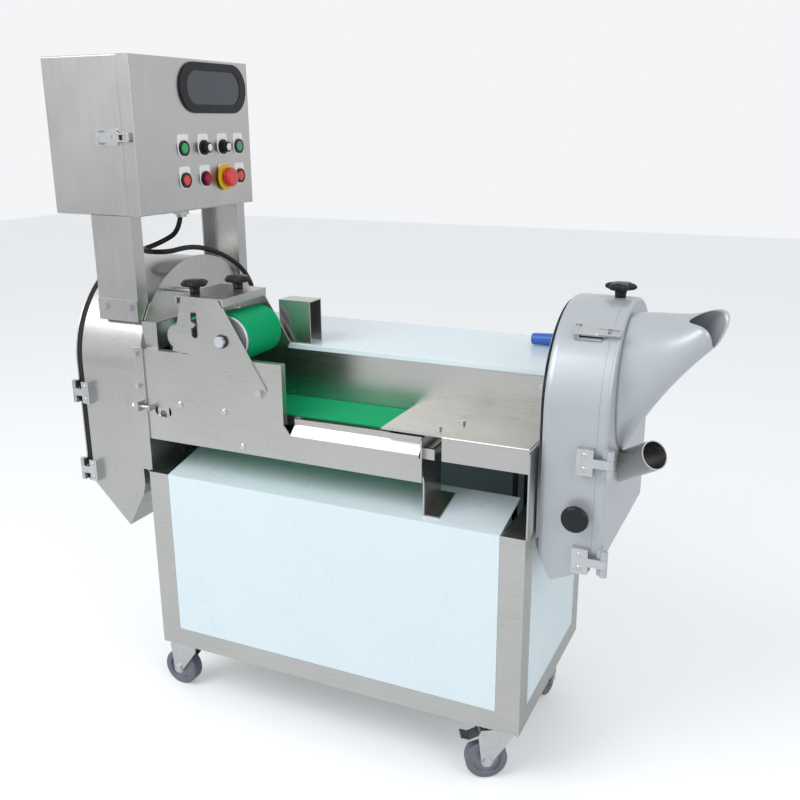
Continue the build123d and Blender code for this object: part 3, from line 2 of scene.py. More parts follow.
# # A vegetable slicing machine, dressed
# The solids come from the CAD model as a fixed frame, in metres. This lesson gives each
# sheet, belt, knob and wheel its finish, and adds the small pieces that only a picture needs.

# %% Load the frame
from math import cos, radians, sin

import bpy
import numpy as np
from mathutils import Matrix, Vector


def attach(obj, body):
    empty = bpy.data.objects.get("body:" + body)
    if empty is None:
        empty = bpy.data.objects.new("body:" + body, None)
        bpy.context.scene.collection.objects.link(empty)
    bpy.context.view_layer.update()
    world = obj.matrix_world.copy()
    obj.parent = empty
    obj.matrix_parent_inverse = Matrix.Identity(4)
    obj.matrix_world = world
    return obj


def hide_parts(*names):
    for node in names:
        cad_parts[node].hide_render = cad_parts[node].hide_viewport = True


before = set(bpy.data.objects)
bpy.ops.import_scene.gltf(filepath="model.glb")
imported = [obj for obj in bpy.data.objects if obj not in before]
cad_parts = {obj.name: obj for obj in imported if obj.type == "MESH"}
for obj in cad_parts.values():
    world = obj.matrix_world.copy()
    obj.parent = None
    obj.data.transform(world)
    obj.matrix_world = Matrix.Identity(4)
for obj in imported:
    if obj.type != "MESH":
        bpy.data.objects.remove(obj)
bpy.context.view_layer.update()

# %% [markdown]
# Places on the machine are easier to read in its own millimetres: X from the cabinet's left
# end, Y from its front, Z from the floor. One helper turns a point into the frame's metres, and
# a second does the same for an array of points.

# %% Machine millimetres to metres
MIDDLE_X, MIDDLE_Y, DECK = 446.01, 212.81, 513.0


def at(x, y, z):
    """Point of the machine as metres in the frame: shift to the middle, divide by 1000."""
    return ((x - MIDDLE_X) / 1000, (y - MIDDLE_Y) / 1000, z / 1000)


def in_frame(rows):
    """Array of points of the machine in the frame's metres, by the same shift and scale."""
    return (rows - np.array([MIDDLE_X, MIDDLE_Y, 0])) / 1000


print("deck corner", at(0, 0, DECK))

# %% [markdown]
# The camera stands at the right front corner, a little above the trough. Its place and lens
# were worked out from the cabinet's edges, which are the longest straight lines to be seen.

# %% Camera
CAMERA_PLACE = at(1213.5, -1391.4, 1195)
HEADING, TILT_DOWN, ROLL = radians(24.95), radians(16.72), radians(-0.32)
camera_data = bpy.data.cameras.new("view")
camera_data.lens = 41.66
camera = bpy.data.objects.new("view", camera_data)
turn = Matrix.Rotation(HEADING, 4, "Z") @ Matrix.Rotation(radians(90) - TILT_DOWN, 4, "X")
camera.matrix_world = Matrix.Translation(CAMERA_PLACE) @ turn @ Matrix.Rotation(ROLL, 4, "Z")
bpy.context.scene.collection.objects.link(camera)
bpy.context.scene.camera = camera
print("camera at", tuple(round(v, 3) for v in camera.location))

# %% [markdown]
# Sheet steel shows its surroundings more than its own colour, so the studio matters: a pale
# world, brighter where the camera or a reflection sees it than where it only lights, one large
# soft lamp high at the left front, and a weaker one at the right.

# %% Studio
SKY_ON_MATT, SKY_SEEN = 0.62, 0.93
world = bpy.data.worlds.new("studio")
bpy.context.scene.world = world
world.use_nodes = True
sky = world.node_tree
sky.nodes.clear()
ray = sky.nodes.new("ShaderNodeLightPath")
seen = sky.nodes.new("ShaderNodeMath")
seen.operation = "MAXIMUM"
sky.links.new(ray.outputs["Is Camera Ray"], seen.inputs[0])
sky.links.new(ray.outputs["Is Glossy Ray"], seen.inputs[1])
dim = sky.nodes.new("ShaderNodeBackground")
dim.inputs["Color"].default_value = (0.95, 0.97, 1.0, 1)
dim.inputs["Strength"].default_value = SKY_ON_MATT
bright = sky.nodes.new("ShaderNodeBackground")
bright.inputs["Color"].default_value = (0.97, 0.98, 1.0, 1)
bright.inputs["Strength"].default_value = SKY_SEEN
either = sky.nodes.new("ShaderNodeMixShader")
sky.links.new(seen.outputs[0], either.inputs[0])
sky.links.new(dim.outputs[0], either.inputs[1])
sky.links.new(bright.outputs[0], either.inputs[2])
sky_out = sky.nodes.new("ShaderNodeOutputWorld")
sky.links.new(either.outputs[0], sky_out.inputs[0])


def soft_lamp(name, place, size, power):
    """Square area lamp that faces the middle of the machine."""
    data = bpy.data.lights.new(name, "AREA")
    data.size = size
    data.energy = power
    lamp = bpy.data.objects.new(name, data)
    aim = Vector((0, 0, 0.7)) - Vector(place)
    turned = aim.to_track_quat("-Z", "Y").to_matrix().to_4x4()
    lamp.matrix_world = Matrix.Translation(place) @ turned
    bpy.context.scene.collection.objects.link(lamp)


soft_lamp("key", (-1.6, -2.2, 3.0), 2.2, 70)
soft_lamp("fill", (2.6, -1.2, 2.2), 2.0, 26)
bpy.context.scene.view_settings.view_transform = "Standard"
print("lamps and sky ready")

# %% [markdown]
# Every metal and plastic here needs a little unevenness. One node group makes it: noise
# stretched along an axis, which reads as brushing when the stretch is long and as grain when
# it is even. The group gives a value from 0 to 1, used for colour, roughness and relief alike.

# %% Shared group: stretched noise
grain = bpy.data.node_groups.new("stretched grain", "ShaderNodeTree")
for label in ("Along X", "Along Y", "Along Z"):
    grain.interface.new_socket(label, in_out="INPUT", socket_type="NodeSocketFloat")
grain.interface.new_socket("Value", in_out="OUTPUT", socket_type="NodeSocketFloat")
g_in = grain.nodes.new("NodeGroupInput")
g_out = grain.nodes.new("NodeGroupOutput")
where = grain.nodes.new("ShaderNodeTexCoord")
scales = grain.nodes.new("ShaderNodeCombineXYZ")
for k in range(3):
    grain.links.new(g_in.outputs[k], scales.inputs[k])
spread = grain.nodes.new("ShaderNodeVectorMath")
spread.operation = "MULTIPLY"
grain.links.new(where.outputs["Object"], spread.inputs[0])
grain.links.new(scales.outputs[0], spread.inputs[1])
noise = grain.nodes.new("ShaderNodeTexNoise")
noise.inputs["Scale"].default_value = 1.0
noise.inputs["Detail"].default_value = 3.0
noise.inputs["Roughness"].default_value = 0.6
grain.links.new(spread.outputs[0], noise.inputs["Vector"])
grain.links.new(noise.outputs[0], g_out.inputs[0])
print("group", grain.name)

# %% [markdown]
# A finish is then a short recipe: two shades that the grain mixes, a range of roughness, a
# relief height, and how metallic it is. A second, much larger noise adds the slow clouds of
# handling marks and dull patches that used kitchen steel has. The belt and the black mouldings
# mirror less of the pale studio than steel does, so their specular level is set low.

# %% Finish helper
CLOUD_SCALE = 7.0
RELIEF_DEPTH = 0.0006
finishes = {}


def finish(name, dark, light, rough, metal, scale, relief, coat=0.0):
    """Principled material: grain mixes dark to light and the two roughness values."""
    material = bpy.data.materials.new(name)
    material.use_nodes = True
    tree = material.node_tree
    shader = tree.nodes["Principled BSDF"]
    fine = tree.nodes.new("ShaderNodeGroup")
    fine.node_tree = grain
    for k in range(3):
        fine.inputs[k].default_value = scale[k]
    cloud = tree.nodes.new("ShaderNodeGroup")
    cloud.node_tree = grain
    for k in range(3):
        cloud.inputs[k].default_value = CLOUD_SCALE
    both = tree.nodes.new("ShaderNodeMath")
    both.operation = "MULTIPLY_ADD"
    tree.links.new(cloud.outputs[0], both.inputs[0])
    both.inputs[1].default_value = 0.5
    halved = tree.nodes.new("ShaderNodeMath")
    halved.operation = "MULTIPLY"
    halved.inputs[1].default_value = 0.5
    tree.links.new(fine.outputs[0], halved.inputs[0])
    tree.links.new(halved.outputs[0], both.inputs[2])
    shade = tree.nodes.new("ShaderNodeMix")
    shade.data_type = "RGBA"
    shade.inputs["A"].default_value = (*dark, 1)
    shade.inputs["B"].default_value = (*light, 1)
    contrast = tree.nodes.new("ShaderNodeMapRange")
    contrast.inputs["From Min"].default_value = 0.28
    contrast.inputs["From Max"].default_value = 0.72
    tree.links.new(both.outputs[0], contrast.inputs["Value"])
    tree.links.new(contrast.outputs[0], shade.inputs["Factor"])
    tree.links.new(shade.outputs["Result"], shader.inputs["Base Color"])
    dull = tree.nodes.new("ShaderNodeMapRange")
    dull.inputs["From Min"].default_value = 0.3
    dull.inputs["From Max"].default_value = 0.7
    dull.inputs["To Min"].default_value = rough[0]
    dull.inputs["To Max"].default_value = rough[1]
    tree.links.new(both.outputs[0], dull.inputs["Value"])
    tree.links.new(dull.outputs[0], shader.inputs["Roughness"])
    bump = tree.nodes.new("ShaderNodeBump")
    bump.inputs["Strength"].default_value = relief
    bump.inputs["Distance"].default_value = RELIEF_DEPTH
    tree.links.new(fine.outputs[0], bump.inputs["Height"])
    tree.links.new(bump.outputs[0], shader.inputs["Normal"])
    shader.inputs["Metallic"].default_value = metal
    shader.inputs["Coat Weight"].default_value = coat
    finishes[name] = material
    return material


steel_x = finish("steel brushed lengthways", (0.47, 0.465, 0.445), (0.57, 0.565, 0.545),
                 (0.24, 0.36), 1.0, (7, 520, 520), 0.05)
steel_z = finish("steel brushed upright", (0.45, 0.445, 0.43), (0.55, 0.545, 0.53),
                 (0.25, 0.37), 1.0, (520, 520, 7), 0.05)
grey_paint = finish("grey paint", (0.43, 0.46, 0.49), (0.48, 0.51, 0.545), (0.30, 0.40), 0.25,
                    (900, 900, 900), 0.06, 0.2)
film_blue = finish("pale blue film", (0.69, 0.80, 0.85), (0.725, 0.83, 0.875), (0.24, 0.36), 0.0,
                   (18, 18, 5), 0.10, 0.2)
tag_white = finish("white tag", (0.80, 0.80, 0.79), (0.88, 0.88, 0.87), (0.4, 0.5), 0.0,
                   (300, 300, 300), 0.02)
zinc = finish("bright zinc", (0.50, 0.51, 0.52), (0.64, 0.65, 0.66), (0.16, 0.28), 1.0,
              (120, 20, 120), 0.05)
iron = finish("painted cast iron", (0.16, 0.18, 0.21), (0.22, 0.25, 0.28), (0.45, 0.6), 0.0,
              (500, 500, 500), 0.3)
belt_green = finish("green belt cover", (0.0, 0.34, 0.125), (0.0, 0.39, 0.15), (0.5, 0.62), 0.0,
                    (700, 700, 700), 0.08)
roller_steel = finish("turned roller steel", (0.52, 0.56, 0.60), (0.62, 0.66, 0.70), (0.4, 0.5),
                      0.7, (300, 300, 300), 0.04)
seal_black = finish("black sponge seal", (0.012, 0.012, 0.012), (0.03, 0.03, 0.03), (0.6, 0.8),
                    0.0, (900, 900, 900), 0.35)
knob_black = finish("black moulding", (0.010, 0.010, 0.011), (0.022, 0.022, 0.024), (0.22, 0.36),
                    0.0, (600, 600, 600), 0.06)
cord_black = finish("black cord jacket", (0.008, 0.008, 0.008), (0.02, 0.02, 0.02), (0.3, 0.42),
                    0.0, (300, 300, 300), 0.08)
for dull, level in ((belt_green, 0.12), (knob_black, 0.22), (cord_black, 0.22), (seal_black, 0.22)):
    dull.node_tree.nodes["Principled BSDF"].inputs["Specular IOR Level"].default_value = level
red_cap = finish("red cap", (0.62, 0.02, 0.012), (0.78, 0.035, 0.02), (0.18, 0.3), 0.0,
                 (200, 200, 200), 0.03, 0.3)
green_cap = finish("green cap", (0.0, 0.28, 0.07), (0.01, 0.38, 0.10), (0.18, 0.3), 0.0,
                   (200, 200, 200), 0.03, 0.3)
blue_grip = finish("blue grip", (0.02, 0.10, 0.42), (0.04, 0.15, 0.55), (0.3, 0.42), 0.0,
                   (400, 400, 400), 0.08)
tyre_grey = finish("grey wheel rubber", (0.125, 0.125, 0.16), (0.17, 0.17, 0.21), (0.5, 0.65), 0.0,
                   (500, 500, 500), 0.15)
dial_silver = finish("silver dial face", (0.70, 0.71, 0.72), (0.82, 0.83, 0.84), (0.25, 0.35), 0.4,
                     (400, 400, 400), 0.04)
ground_edge = finish("ground blade steel", (0.62, 0.62, 0.62), (0.8, 0.8, 0.8), (0.12, 0.25), 1.0,
                     (40, 300, 300), 0.05)
print(len(finishes), "finishes")

# %% [markdown]
# Some solids carry two finishes: the black fittings of the control door hold a glass pane too.
# Instead of cutting the mesh, the material asks where each point is: a mask that is 1 inside a
# box of the frame picks the second finish. The mask is a node group too, and one helper lays a
# second colour over a copy of a finish wherever a mask is 1.

# %% Shared group: inside a box
inside = bpy.data.node_groups.new("inside a box", "ShaderNodeTree")
inside.interface.new_socket("Low", in_out="INPUT", socket_type="NodeSocketVector")
inside.interface.new_socket("High", in_out="INPUT", socket_type="NodeSocketVector")
inside.interface.new_socket("Mask", in_out="OUTPUT", socket_type="NodeSocketFloat")
b_in = inside.nodes.new("NodeGroupInput")
b_out = inside.nodes.new("NodeGroupOutput")
b_where = inside.nodes.new("ShaderNodeTexCoord")
b_split = inside.nodes.new("ShaderNodeSeparateXYZ")
inside.links.new(b_where.outputs["Object"], b_split.inputs[0])
b_last = None
for socket, operation in (("Low", "GREATER_THAN"), ("High", "LESS_THAN")):
    b_edge = inside.nodes.new("ShaderNodeSeparateXYZ")
    inside.links.new(b_in.outputs[socket], b_edge.inputs[0])
    for k in range(3):
        b_test = inside.nodes.new("ShaderNodeMath")
        b_test.operation = operation
        inside.links.new(b_split.outputs[k], b_test.inputs[0])
        inside.links.new(b_edge.outputs[k], b_test.inputs[1])
        if b_last is None:
            b_last = b_test
        else:
            b_both = inside.nodes.new("ShaderNodeMath")
            b_both.operation = "MULTIPLY"
            inside.links.new(b_last.outputs[0], b_both.inputs[0])
            inside.links.new(b_test.outputs[0], b_both.inputs[1])
            b_last = b_both
inside.links.new(b_last.outputs[0], b_out.inputs[0])


def masked_copy(base, name, group, values, colour):
    """Copy of a finish with another colour where the group's mask is 1; the mask node too."""
    material = base.copy()
    material.name = name
    tree = material.node_tree
    shader = tree.nodes["Principled BSDF"]
    mask = tree.nodes.new("ShaderNodeGroup")
    mask.node_tree = group
    for label, value in values.items():
        mask.inputs[label].default_value = value
    source = shader.inputs["Base Color"].links[0].from_socket
    paint = tree.nodes.new("ShaderNodeMix")
    paint.data_type = "RGBA"
    tree.links.new(mask.outputs[0], paint.inputs["Factor"])
    tree.links.new(source, paint.inputs["A"])
    paint.inputs["B"].default_value = (*colour, 1)
    tree.links.new(paint.outputs["Result"], shader.inputs["Base Color"])
    finishes[name] = material
    return material, mask


def with_patch(base, name, low, high, colour, rough):
    """Copy of a finish that is a plastic of another colour inside the box from low to high."""
    material, mask = masked_copy(base, name, inside, {"Low": low, "High": high}, colour)
    tree = material.node_tree
    shader = tree.nodes["Principled BSDF"]
    source = shader.inputs["Roughness"].links[0].from_socket
    dull = tree.nodes.new("ShaderNodeMix")
    tree.links.new(mask.outputs[0], dull.inputs["Factor"])
    tree.links.new(source, dull.inputs["A"])
    dull.inputs["B"].default_value = rough
    tree.links.new(dull.outputs["Result"], shader.inputs["Roughness"])
    if shader.inputs["Metallic"].default_value > 0:
        gloss = tree.nodes.new("ShaderNodeMix")
        tree.links.new(mask.outputs[0], gloss.inputs["Factor"])
        gloss.inputs["A"].default_value = shader.inputs["Metallic"].default_value
        gloss.inputs["B"].default_value = 0.0
        tree.links.new(gloss.outputs["Result"], shader.inputs["Metallic"])
    return material


print("mask group", inside.name)

# %% [markdown]
# A castor wheel is a dark tyre around a paler hub. The hub is found by distance: the cross
# product of a point's offset from the wheel's middle with the axle's direction is as long as
# the point is far from the axle, whichever way the castor has swivelled.

# %% Shared group: near an axle
near_axle = bpy.data.node_groups.new("near an axle", "ShaderNodeTree")
near_axle.interface.new_socket("Middle", in_out="INPUT", socket_type="NodeSocketVector")
near_axle.interface.new_socket("Axle", in_out="INPUT", socket_type="NodeSocketVector")
near_axle.interface.new_socket("Radius", in_out="INPUT", socket_type="NodeSocketFloat")
near_axle.interface.new_socket("Mask", in_out="OUTPUT", socket_type="NodeSocketFloat")
a_in = near_axle.nodes.new("NodeGroupInput")
a_out = near_axle.nodes.new("NodeGroupOutput")
a_where = near_axle.nodes.new("ShaderNodeTexCoord")
a_offset = near_axle.nodes.new("ShaderNodeVectorMath")
a_offset.operation = "SUBTRACT"
near_axle.links.new(a_where.outputs["Object"], a_offset.inputs[0])
near_axle.links.new(a_in.outputs["Middle"], a_offset.inputs[1])
a_cross = near_axle.nodes.new("ShaderNodeVectorMath")
a_cross.operation = "CROSS_PRODUCT"
near_axle.links.new(a_offset.outputs[0], a_cross.inputs[0])
near_axle.links.new(a_in.outputs["Axle"], a_cross.inputs[1])
a_length = near_axle.nodes.new("ShaderNodeVectorMath")
a_length.operation = "LENGTH"
near_axle.links.new(a_cross.outputs[0], a_length.inputs[0])
a_test = near_axle.nodes.new("ShaderNodeMath")
a_test.operation = "LESS_THAN"
near_axle.links.new(a_length.outputs["Value"], a_test.inputs[0])
near_axle.links.new(a_in.outputs["Radius"], a_test.inputs[1])
near_axle.links.new(a_test.outputs[0], a_out.inputs[0])


def with_hub(base, name, middle, turned, radius, colour):
    """Copy of a finish with another colour within radius of an axle turned by an angle."""
    axle = (-sin(turned), cos(turned), 0)
    values = {"Middle": middle, "Axle": axle, "Radius": radius}
    return masked_copy(base, name, near_axle, values, colour)[0]


print("mask group", near_axle.name)

# %% [markdown]
# The door's fittings are black mouldings: bezels and a window frame. Three boxes pick out the
# grey pane, the yellow plate under the emergency stop and the dark red lamp. On the press
# bracket one box makes the washer of the roller's shaft black.

# %% Finishes with patches
PANE_GREY, STOP_YELLOW, LAMP_RED = (0.085, 0.092, 0.105), (0.85, 0.55, 0.02), (0.36, 0.006, 0.03)
WASHER_BLACK = (0.012, 0.012, 0.013)
fittings = with_patch(knob_black, "fittings, pane", at(20.4, 179, 1231), at(23.2, 359, 1296),
                      PANE_GREY, 0.14)
fittings = with_patch(fittings, "fittings, stop plate", at(24.9, 260, 1055), at(26.6, 320, 1115),
                      STOP_YELLOW, 0.35)
fittings = with_patch(fittings, "fittings, lamp", at(25.02, 211, 1072), at(40, 237, 1098),
                      LAMP_RED, 0.12)
washer = with_patch(steel_x, "bracket and washer", at(185, -4, 789), at(215, -0.05, 819),
                    WASHER_BLACK, 0.3)
print(len(finishes), "finishes with patches")

# %% [markdown]
# Each solid of the frame now gets its finish by its node's name. A solid's mesh stays as it is:
# only its material slots are filled. The wheels' axles are found from the castors' places and
# from the angles to which they have swivelled.

# %% Finishes onto the solids
CABINET_LENGTH, CABINET_DEPTH = 800, 410
CASTOR_INSET, CASTOR_TRAIL, WHEEL_RADIUS = 44, 32, 40
HUB_RADIUS, HUB_GREY = 0.0285, (0.26, 0.27, 0.31)
wears = {
    "cabinet_frame": steel_x, "cabinet_panels": film_blue, "trough_front_wall": steel_x,
    "feed_table": steel_x, "top_cover": film_blue, "end_plates": steel_z,
    "left_housing": steel_z, "right_housing": grey_paint, "posts": steel_z,
    "control_box": steel_z, "control_door": steel_z, "door_fittings": fittings,
    "press_frame": washer, "press_carriage": steel_x, "left_cover": steel_z,
    "right_cover": grey_paint, "hopper": grey_paint, "feed_tube": steel_x,
    "cover_fittings": zinc, "bolts": zinc, "castor_plates": zinc, "brake_pedal": zinc,
    "right_latch": zinc, "box_latch": zinc, "belt_bed": steel_x,
    "knife_disc": ground_edge, "slicing_disc": ground_edge,
    "knife_shaft": zinc, "slicer_shaft": zinc, "press_roller": roller_steel,
    "belt_head_roller": zinc, "belt_tail_roller": zinc, "conveyor_belt": belt_green,
    "press_belt": belt_green, "left_seal": seal_black, "drive_belts": seal_black,
    "control_cable": cord_black, "press_knob_front": knob_black,
    "press_knob_rear": knob_black, "top_knob": knob_black, "front_knob": knob_black,
    "speed_dial_left": knob_black, "speed_dial_right": knob_black,
    "stop_button_left": red_cap, "stop_button_right": red_cap, "emergency_stop": red_cap,
    "start_button_left": green_cap, "start_button_right": green_cap, "pusher": blue_grip,
    "motors": iron, "knife_motor_pulley": iron, "slicer_motor_pulley": iron,
}
left, right = CASTOR_INSET, CABINET_LENGTH - CASTOR_INSET
front, rear = CASTOR_INSET, CABINET_DEPTH - CASTOR_INSET
for corner, x, y, degrees in (
    ("front_left", left, front, 180),
    ("front_right", right, front, 210),
    ("rear_left", left, rear, 100),
    ("rear_right", right, rear, 265),
):
    turned = radians(degrees)
    middle = at(x + CASTOR_TRAIL * cos(turned), y + CASTOR_TRAIL * sin(turned), WHEEL_RADIUS)
    wears["castor_fork_" + corner] = zinc
    wears["castor_wheel_" + corner] = with_hub(
        tyre_grey, "wheel " + corner, middle, turned, HUB_RADIUS, HUB_GREY
    )
nodes = {obj.name: obj for obj in bpy.data.objects if obj.type == "MESH"}
for node, material in wears.items():
    mesh = nodes[node].data
    if not mesh.materials:
        mesh.materials.append(material)
    for k in range(len(mesh.materials)):
        mesh.materials[k] = material
print("dressed", len(wears), "of", len(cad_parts), "nodes")

# %% [markdown]
# The control cable is a real cord: it leaves the gland under the box, loops once on the drum
# and drops into the top cover. One NURBS line takes the route's points as its control points.

# %% Control cable
CABLE_LENGTH, CABLE_DIAMETER = 0.602, 0.0105
route = (
    (-45, 220, 523), (-45, 220, 465), (-88, 192, 436), (-86, 122, 430), (-12, 122, 430),
    (-12, 192, 434), (-10, 252, 424), (0, 306, 402), (12, 348, 372), (22, 372, 330),
    (25, 374, 285), (24, 372, 243),
)
cable_curve = bpy.data.curves.new("cable", "CURVE")
cable_curve.dimensions = "3D"
cable_curve.bevel_depth = CABLE_DIAMETER / 2
cable_curve.bevel_resolution = 5
cable_curve.use_fill_caps = True
line = cable_curve.splines.new("NURBS")
line.points.add(len(route) - 1)
for point, (x, y, up) in zip(line.points, route):
    point.co = (*at(x, y, DECK + up), 1)
line.order_u = 3
line.use_endpoint_u = True
line.resolution_u = 12
cable = bpy.data.objects.new("cable", cable_curve)
bpy.context.scene.collection.objects.link(cable)
cable_curve.materials.append(cord_black)
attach(cable, "machine")
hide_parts("control_cable")
print("cable with", len(route), "control points")

# %% [markdown]
# Surfaces are worked out as whole arrays: a grid of points goes into a mesh with quads between
# neighbouring rows.

# %% Surface helper
def surface(name, rows, material, body, node=None, around=False):
    """Mesh from an array rows x ring x 3: quads join the rings. The two ends are closed by a
    face each, or with around the last ring is joined to the first, as in a ring with a hole."""
    count, ring = rows.shape[:2]
    index = np.arange(count * ring).reshape(count, ring)
    last = count if around else count - 1
    a = index[:last]
    b = np.roll(index, -1, axis=1)[:last]
    d = np.roll(index, -1, axis=0)[:last]
    c = np.roll(d, -1, axis=1)
    quads = np.stack([a, b, c, d], axis=-1).reshape(-1, 4)
    mesh = bpy.data.meshes.new(name)
    faces = quads.tolist()
    if not around:
        faces += [index[0][::-1].tolist(), index[-1].tolist()]
    mesh.from_pydata(rows.reshape(-1, 3).tolist(), [], faces)
    mesh.materials.append(material)
    mesh.polygons.foreach_set("use_smooth", np.ones(len(mesh.polygons), dtype=bool))
    obj = bpy.data.objects.new(name, mesh)
    bpy.context.scene.collection.objects.link(obj)
    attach(obj, body)
    if node:
        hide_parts(node)
    return obj


# %% [markdown]
# The root head's hopper is a bent spout of painted sheet: an upright oval on the cover, drawn
# out and up to a mouth whose far lip stands higher, like a beak. Each ring is an ellipse plus a
# saddle term, and the wall between the first ring and the lip follows a quadratic Bezier curve.

# %% Hopper
def saddle_ring(low, top, near, far, count=96):
    """Closed curve through four points: C + U cos t + V sin t + W cos 2t, t from low to far,
    which turns the faces outwards."""
    low, top, near, far = (np.array(v, dtype=float) for v in (low, top, near, far))
    t = np.linspace(0, 2 * np.pi, count, endpoint=False)[:, None]
    middle = (low + top + near + far) / 4
    saddle = (low + top - near - far) / 4
    return (middle + (low - top) / 2 * np.cos(t) + (far - near) / 2 * np.sin(t)
            + saddle * np.cos(2 * t))


def hopper_rows(steps=28, wall=2.0):
    """Outer skin (1-s)^2 A + 2s(1-s) B + s^2 C up to the lip, then back down a wall inside it."""
    rings = (
        saddle_ring((922, 160, 642), (922, 165, 884), (922, 72, 763), (922, 248, 763)),
        saddle_ring((983, 155, 767), (975, 165, 892), (985, 88, 800), (990, 240, 815)),
        saddle_ring((1062, 150, 843), (1015.8, 165, 882), (1050, 112, 876), (1070, 205, 891)),
    )
    s = np.linspace(0, 1, steps)[:, None, None]
    outer = (1 - s) ** 2 * rings[0] + 2 * s * (1 - s) * rings[1] + s**2 * rings[2]
    middle = outer.mean(axis=1, keepdims=True)
    spoke = middle - outer
    inner = outer + wall * spoke / np.linalg.norm(spoke, axis=2, keepdims=True)
    return in_frame(np.concatenate([outer, inner[::-1]]))


hopper = surface("hopper_spout", hopper_rows(), grey_paint, "right_cover",
                 "hopper", around=True)
print("hopper", len(hopper.data.polygons), "faces")

# %% [markdown]
# The clamping knobs are moulded stars. Around the axis the radius swells and dips six times,
# more at the rim than at the stem, and the profile from stem to crown is rounded. The one on
# the arch's front is round.

# %% Star knobs
def star_rows(place, axis, side, depth):
    """Rings along an axis: radius = profile times (1 + depth x lobe x cos 6 angle)."""
    profile = np.array([
        (0.0, 9.5, 0.0), (4.0, 9.5, 0.0), (10.5, 10.5, 0.02), (12.5, 14.0, 0.08),
        (13.5, 19.5, 0.14), (15.5, 22.6, 0.17), (18.5, 23.6, 0.18), (21.5, 22.8, 0.18),
        (24.0, 19.5, 0.15), (25.4, 13.5, 0.08), (26.0, 6.0, 0.0), (26.0, 0.3, 0.0),
    ])
    angle = np.linspace(0, 2 * np.pi, 72, endpoint=False)
    height, radius, lobe = (profile[:, k][:, None] for k in range(3))
    reach = radius * (1 + depth * lobe * np.cos(6 * angle)[None, :])
    axis = np.array(axis, dtype=float)
    side = np.array(side, dtype=float)
    other = np.cross(axis, side)
    rows = (height[..., None] * axis + (reach * np.cos(angle))[..., None] * side
            + (reach * np.sin(angle))[..., None] * other)
    return rows / 1000 + np.array(at(*place))


for node, place, axis, depth in (
    ("press_knob_front", (115, 40, 883.3), (0, 0, 1), 1.0),
    ("press_knob_rear", (162, 116, 883.3), (0, 0, 1), 1.0),
    ("top_knob", (892, 205, 903.3), (0, 0, 1), 1.0),
    ("front_knob", (879, 29.7, 562), (0, -1, 0), 0.0),
):
    surface(node + "_star", star_rows(place, axis, (1, 0, 0), depth), knob_black, node,
            node)
print("four star knobs")

# %% [markdown]
# Behind each push button sits a plain white tag, a thin plate. Its outline is a superellipse,
# which runs from a circle to a rectangle by one exponent: below the button's middle it is a
# circle around the button, and above it a taller near-rectangle. The tag's face is left bare.

# %% Blank tags behind the buttons
def tag_rows(y, z, x_pair, width=18.0, above=27.0, count=64):
    """Rings around X: y and z are half sizes times a power of |cos| and |sin|. The lower half
    is a circle of radius width, the upper a near-rectangle as high as above."""
    angle = np.linspace(0, 2 * np.pi, count, endpoint=False)
    upper = np.sin(angle) > 0
    power = np.where(upper, 0.22, 1.0)
    out_y = width * np.sign(np.cos(angle)) * np.abs(np.cos(angle)) ** power
    tall = np.where(upper, above, width)
    out_z = tall * np.sign(np.sin(angle)) * np.abs(np.sin(angle)) ** power
    shrink = np.array([1.0, 1.0, 0.985])[:, None]
    depth = np.array([x_pair[0], x_pair[1] - 0.2, x_pair[1]])[:, None]
    rows = np.stack([depth + 0 * out_y, y + shrink * out_y, z + shrink * out_z], axis=-1)
    return in_frame(rows)


BUTTON_ROWS, BUTTON_COLUMNS = (634.0, 572.0), (158.0, 224.0, 290.0, 348.0)
for row, z in enumerate(BUTTON_ROWS):
    for column, y in enumerate(BUTTON_COLUMNS):
        name = "tag_" + str(row) + "_" + str(column)
        rows = tag_rows(y, DECK + z, (19.9, 20.6))
        surface(name, rows, tag_white, "control_door")
print("eight tags")

# %% [markdown]
# The leaves of the covers' hinges and the back of the top cover are held by small round-headed
# screws. A head is a quarter ellipse turned about its axis.

# %% Screw heads
def dome_rows(place, axis, radius, height):
    """Rings about an axis: radius x cos t, height x sin t, for t from 0 to 90 degrees."""
    t = np.linspace(0, np.pi / 2 - 0.02, 7)
    angle = np.linspace(0, 2 * np.pi, 20, endpoint=False)
    axis = np.array(axis, dtype=float)
    side = np.array((0.0, 0.0, 1.0)) if abs(axis[2]) < 0.5 else np.array((1.0, 0.0, 0.0))
    other = np.cross(axis, side)
    out = (radius * np.cos(t))[:, None]
    rows = ((height * np.sin(t))[:, None, None] * axis
            + (out * np.cos(angle))[..., None] * side
            + (out * np.sin(angle))[..., None] * other)
    return rows / 1000 + np.array(at(*place))


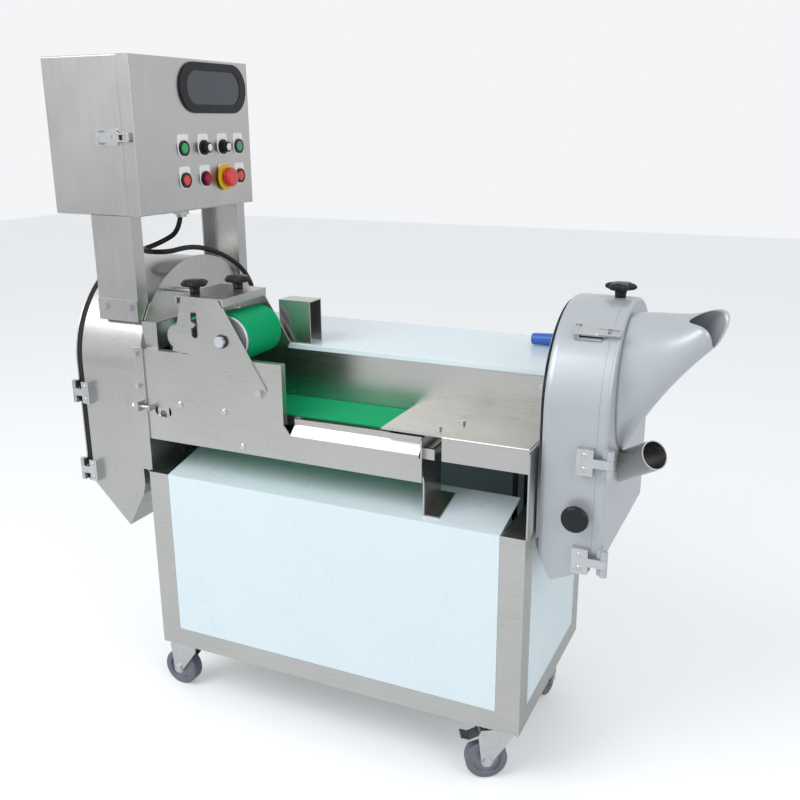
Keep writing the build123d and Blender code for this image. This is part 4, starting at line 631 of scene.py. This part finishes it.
SCREW_HEIGHT = 2.2
screws = []
for z in (662.0, 485.0):
    screws += [((889, 16.5, z + dz), (0, -1, 0), 5.0) for dz in (-12, 12)]
for z in (666.0, 496.0):
    screws += [((-141, -10.5, z + dz), (0, -1, 0), 4.0) for dz in (-14, 14)]
for x in (120, 300, 480, 700):
    screws.append(((x, 408.0, 760.0), (0, 1, 0), 3.6))
for number, (place, axis, radius) in enumerate(screws):
    head = dome_rows(place, axis, radius, SCREW_HEIGHT)
    surface("screw_" + str(number), head, zinc, "machine")
print(len(screws), "screw heads")

# %% [markdown]
# The speed dials carry a silver face, the same low dome at a larger radius.

# %% Dial faces
DIAL_FRONT = 37.9
for dial, y in (("speed_dial_left", BUTTON_COLUMNS[1]), ("speed_dial_right", BUTTON_COLUMNS[2])):
    face = dome_rows((DIAL_FRONT, y, DECK + BUTTON_ROWS[0]), (1, 0, 0), 7.6, 0.9)
    surface(dial + "_face", face, dial_silver, dial)
print("two dial faces")

# %% [markdown]
# The floor is a plain pale sheet that keeps the machine's shadow. For the camera alone it gives
# off a little light of its own, which makes it white.

# %% Floor and finish
FLOOR_GLOW = 0.24
floor_mesh = bpy.data.meshes.new("floor")
corners = [(-9, -9, 0), (9, -9, 0), (9, 9, 0), (-9, 9, 0)]
floor_mesh.from_pydata(corners, [], [(0, 1, 2, 3)])
floor = bpy.data.objects.new("floor", floor_mesh)
bpy.context.scene.collection.objects.link(floor)
floor_look = bpy.data.materials.new("pale floor")
floor_look.use_nodes = True
floor_tree = floor_look.node_tree
floor_shader = floor_tree.nodes["Principled BSDF"]
floor_shader.inputs["Base Color"].default_value = (0.84, 0.86, 0.87, 1)
floor_shader.inputs["Roughness"].default_value = 0.6
floor_ray = floor_tree.nodes.new("ShaderNodeLightPath")
lift = floor_tree.nodes.new("ShaderNodeMath")
lift.operation = "MULTIPLY"
lift.inputs[1].default_value = FLOOR_GLOW
floor_tree.links.new(floor_ray.outputs["Is Camera Ray"], lift.inputs[0])
glow = floor_tree.nodes.new("ShaderNodeEmission")
floor_tree.links.new(lift.outputs[0], glow.inputs["Strength"])
summed = floor_tree.nodes.new("ShaderNodeAddShader")
floor_tree.links.new(floor_shader.outputs[0], summed.inputs[0])
floor_tree.links.new(glow.outputs[0], summed.inputs[1])
floor_tree.links.new(summed.outputs[0], floor_tree.nodes["Material Output"].inputs["Surface"])
floor_mesh.materials.append(floor_look)
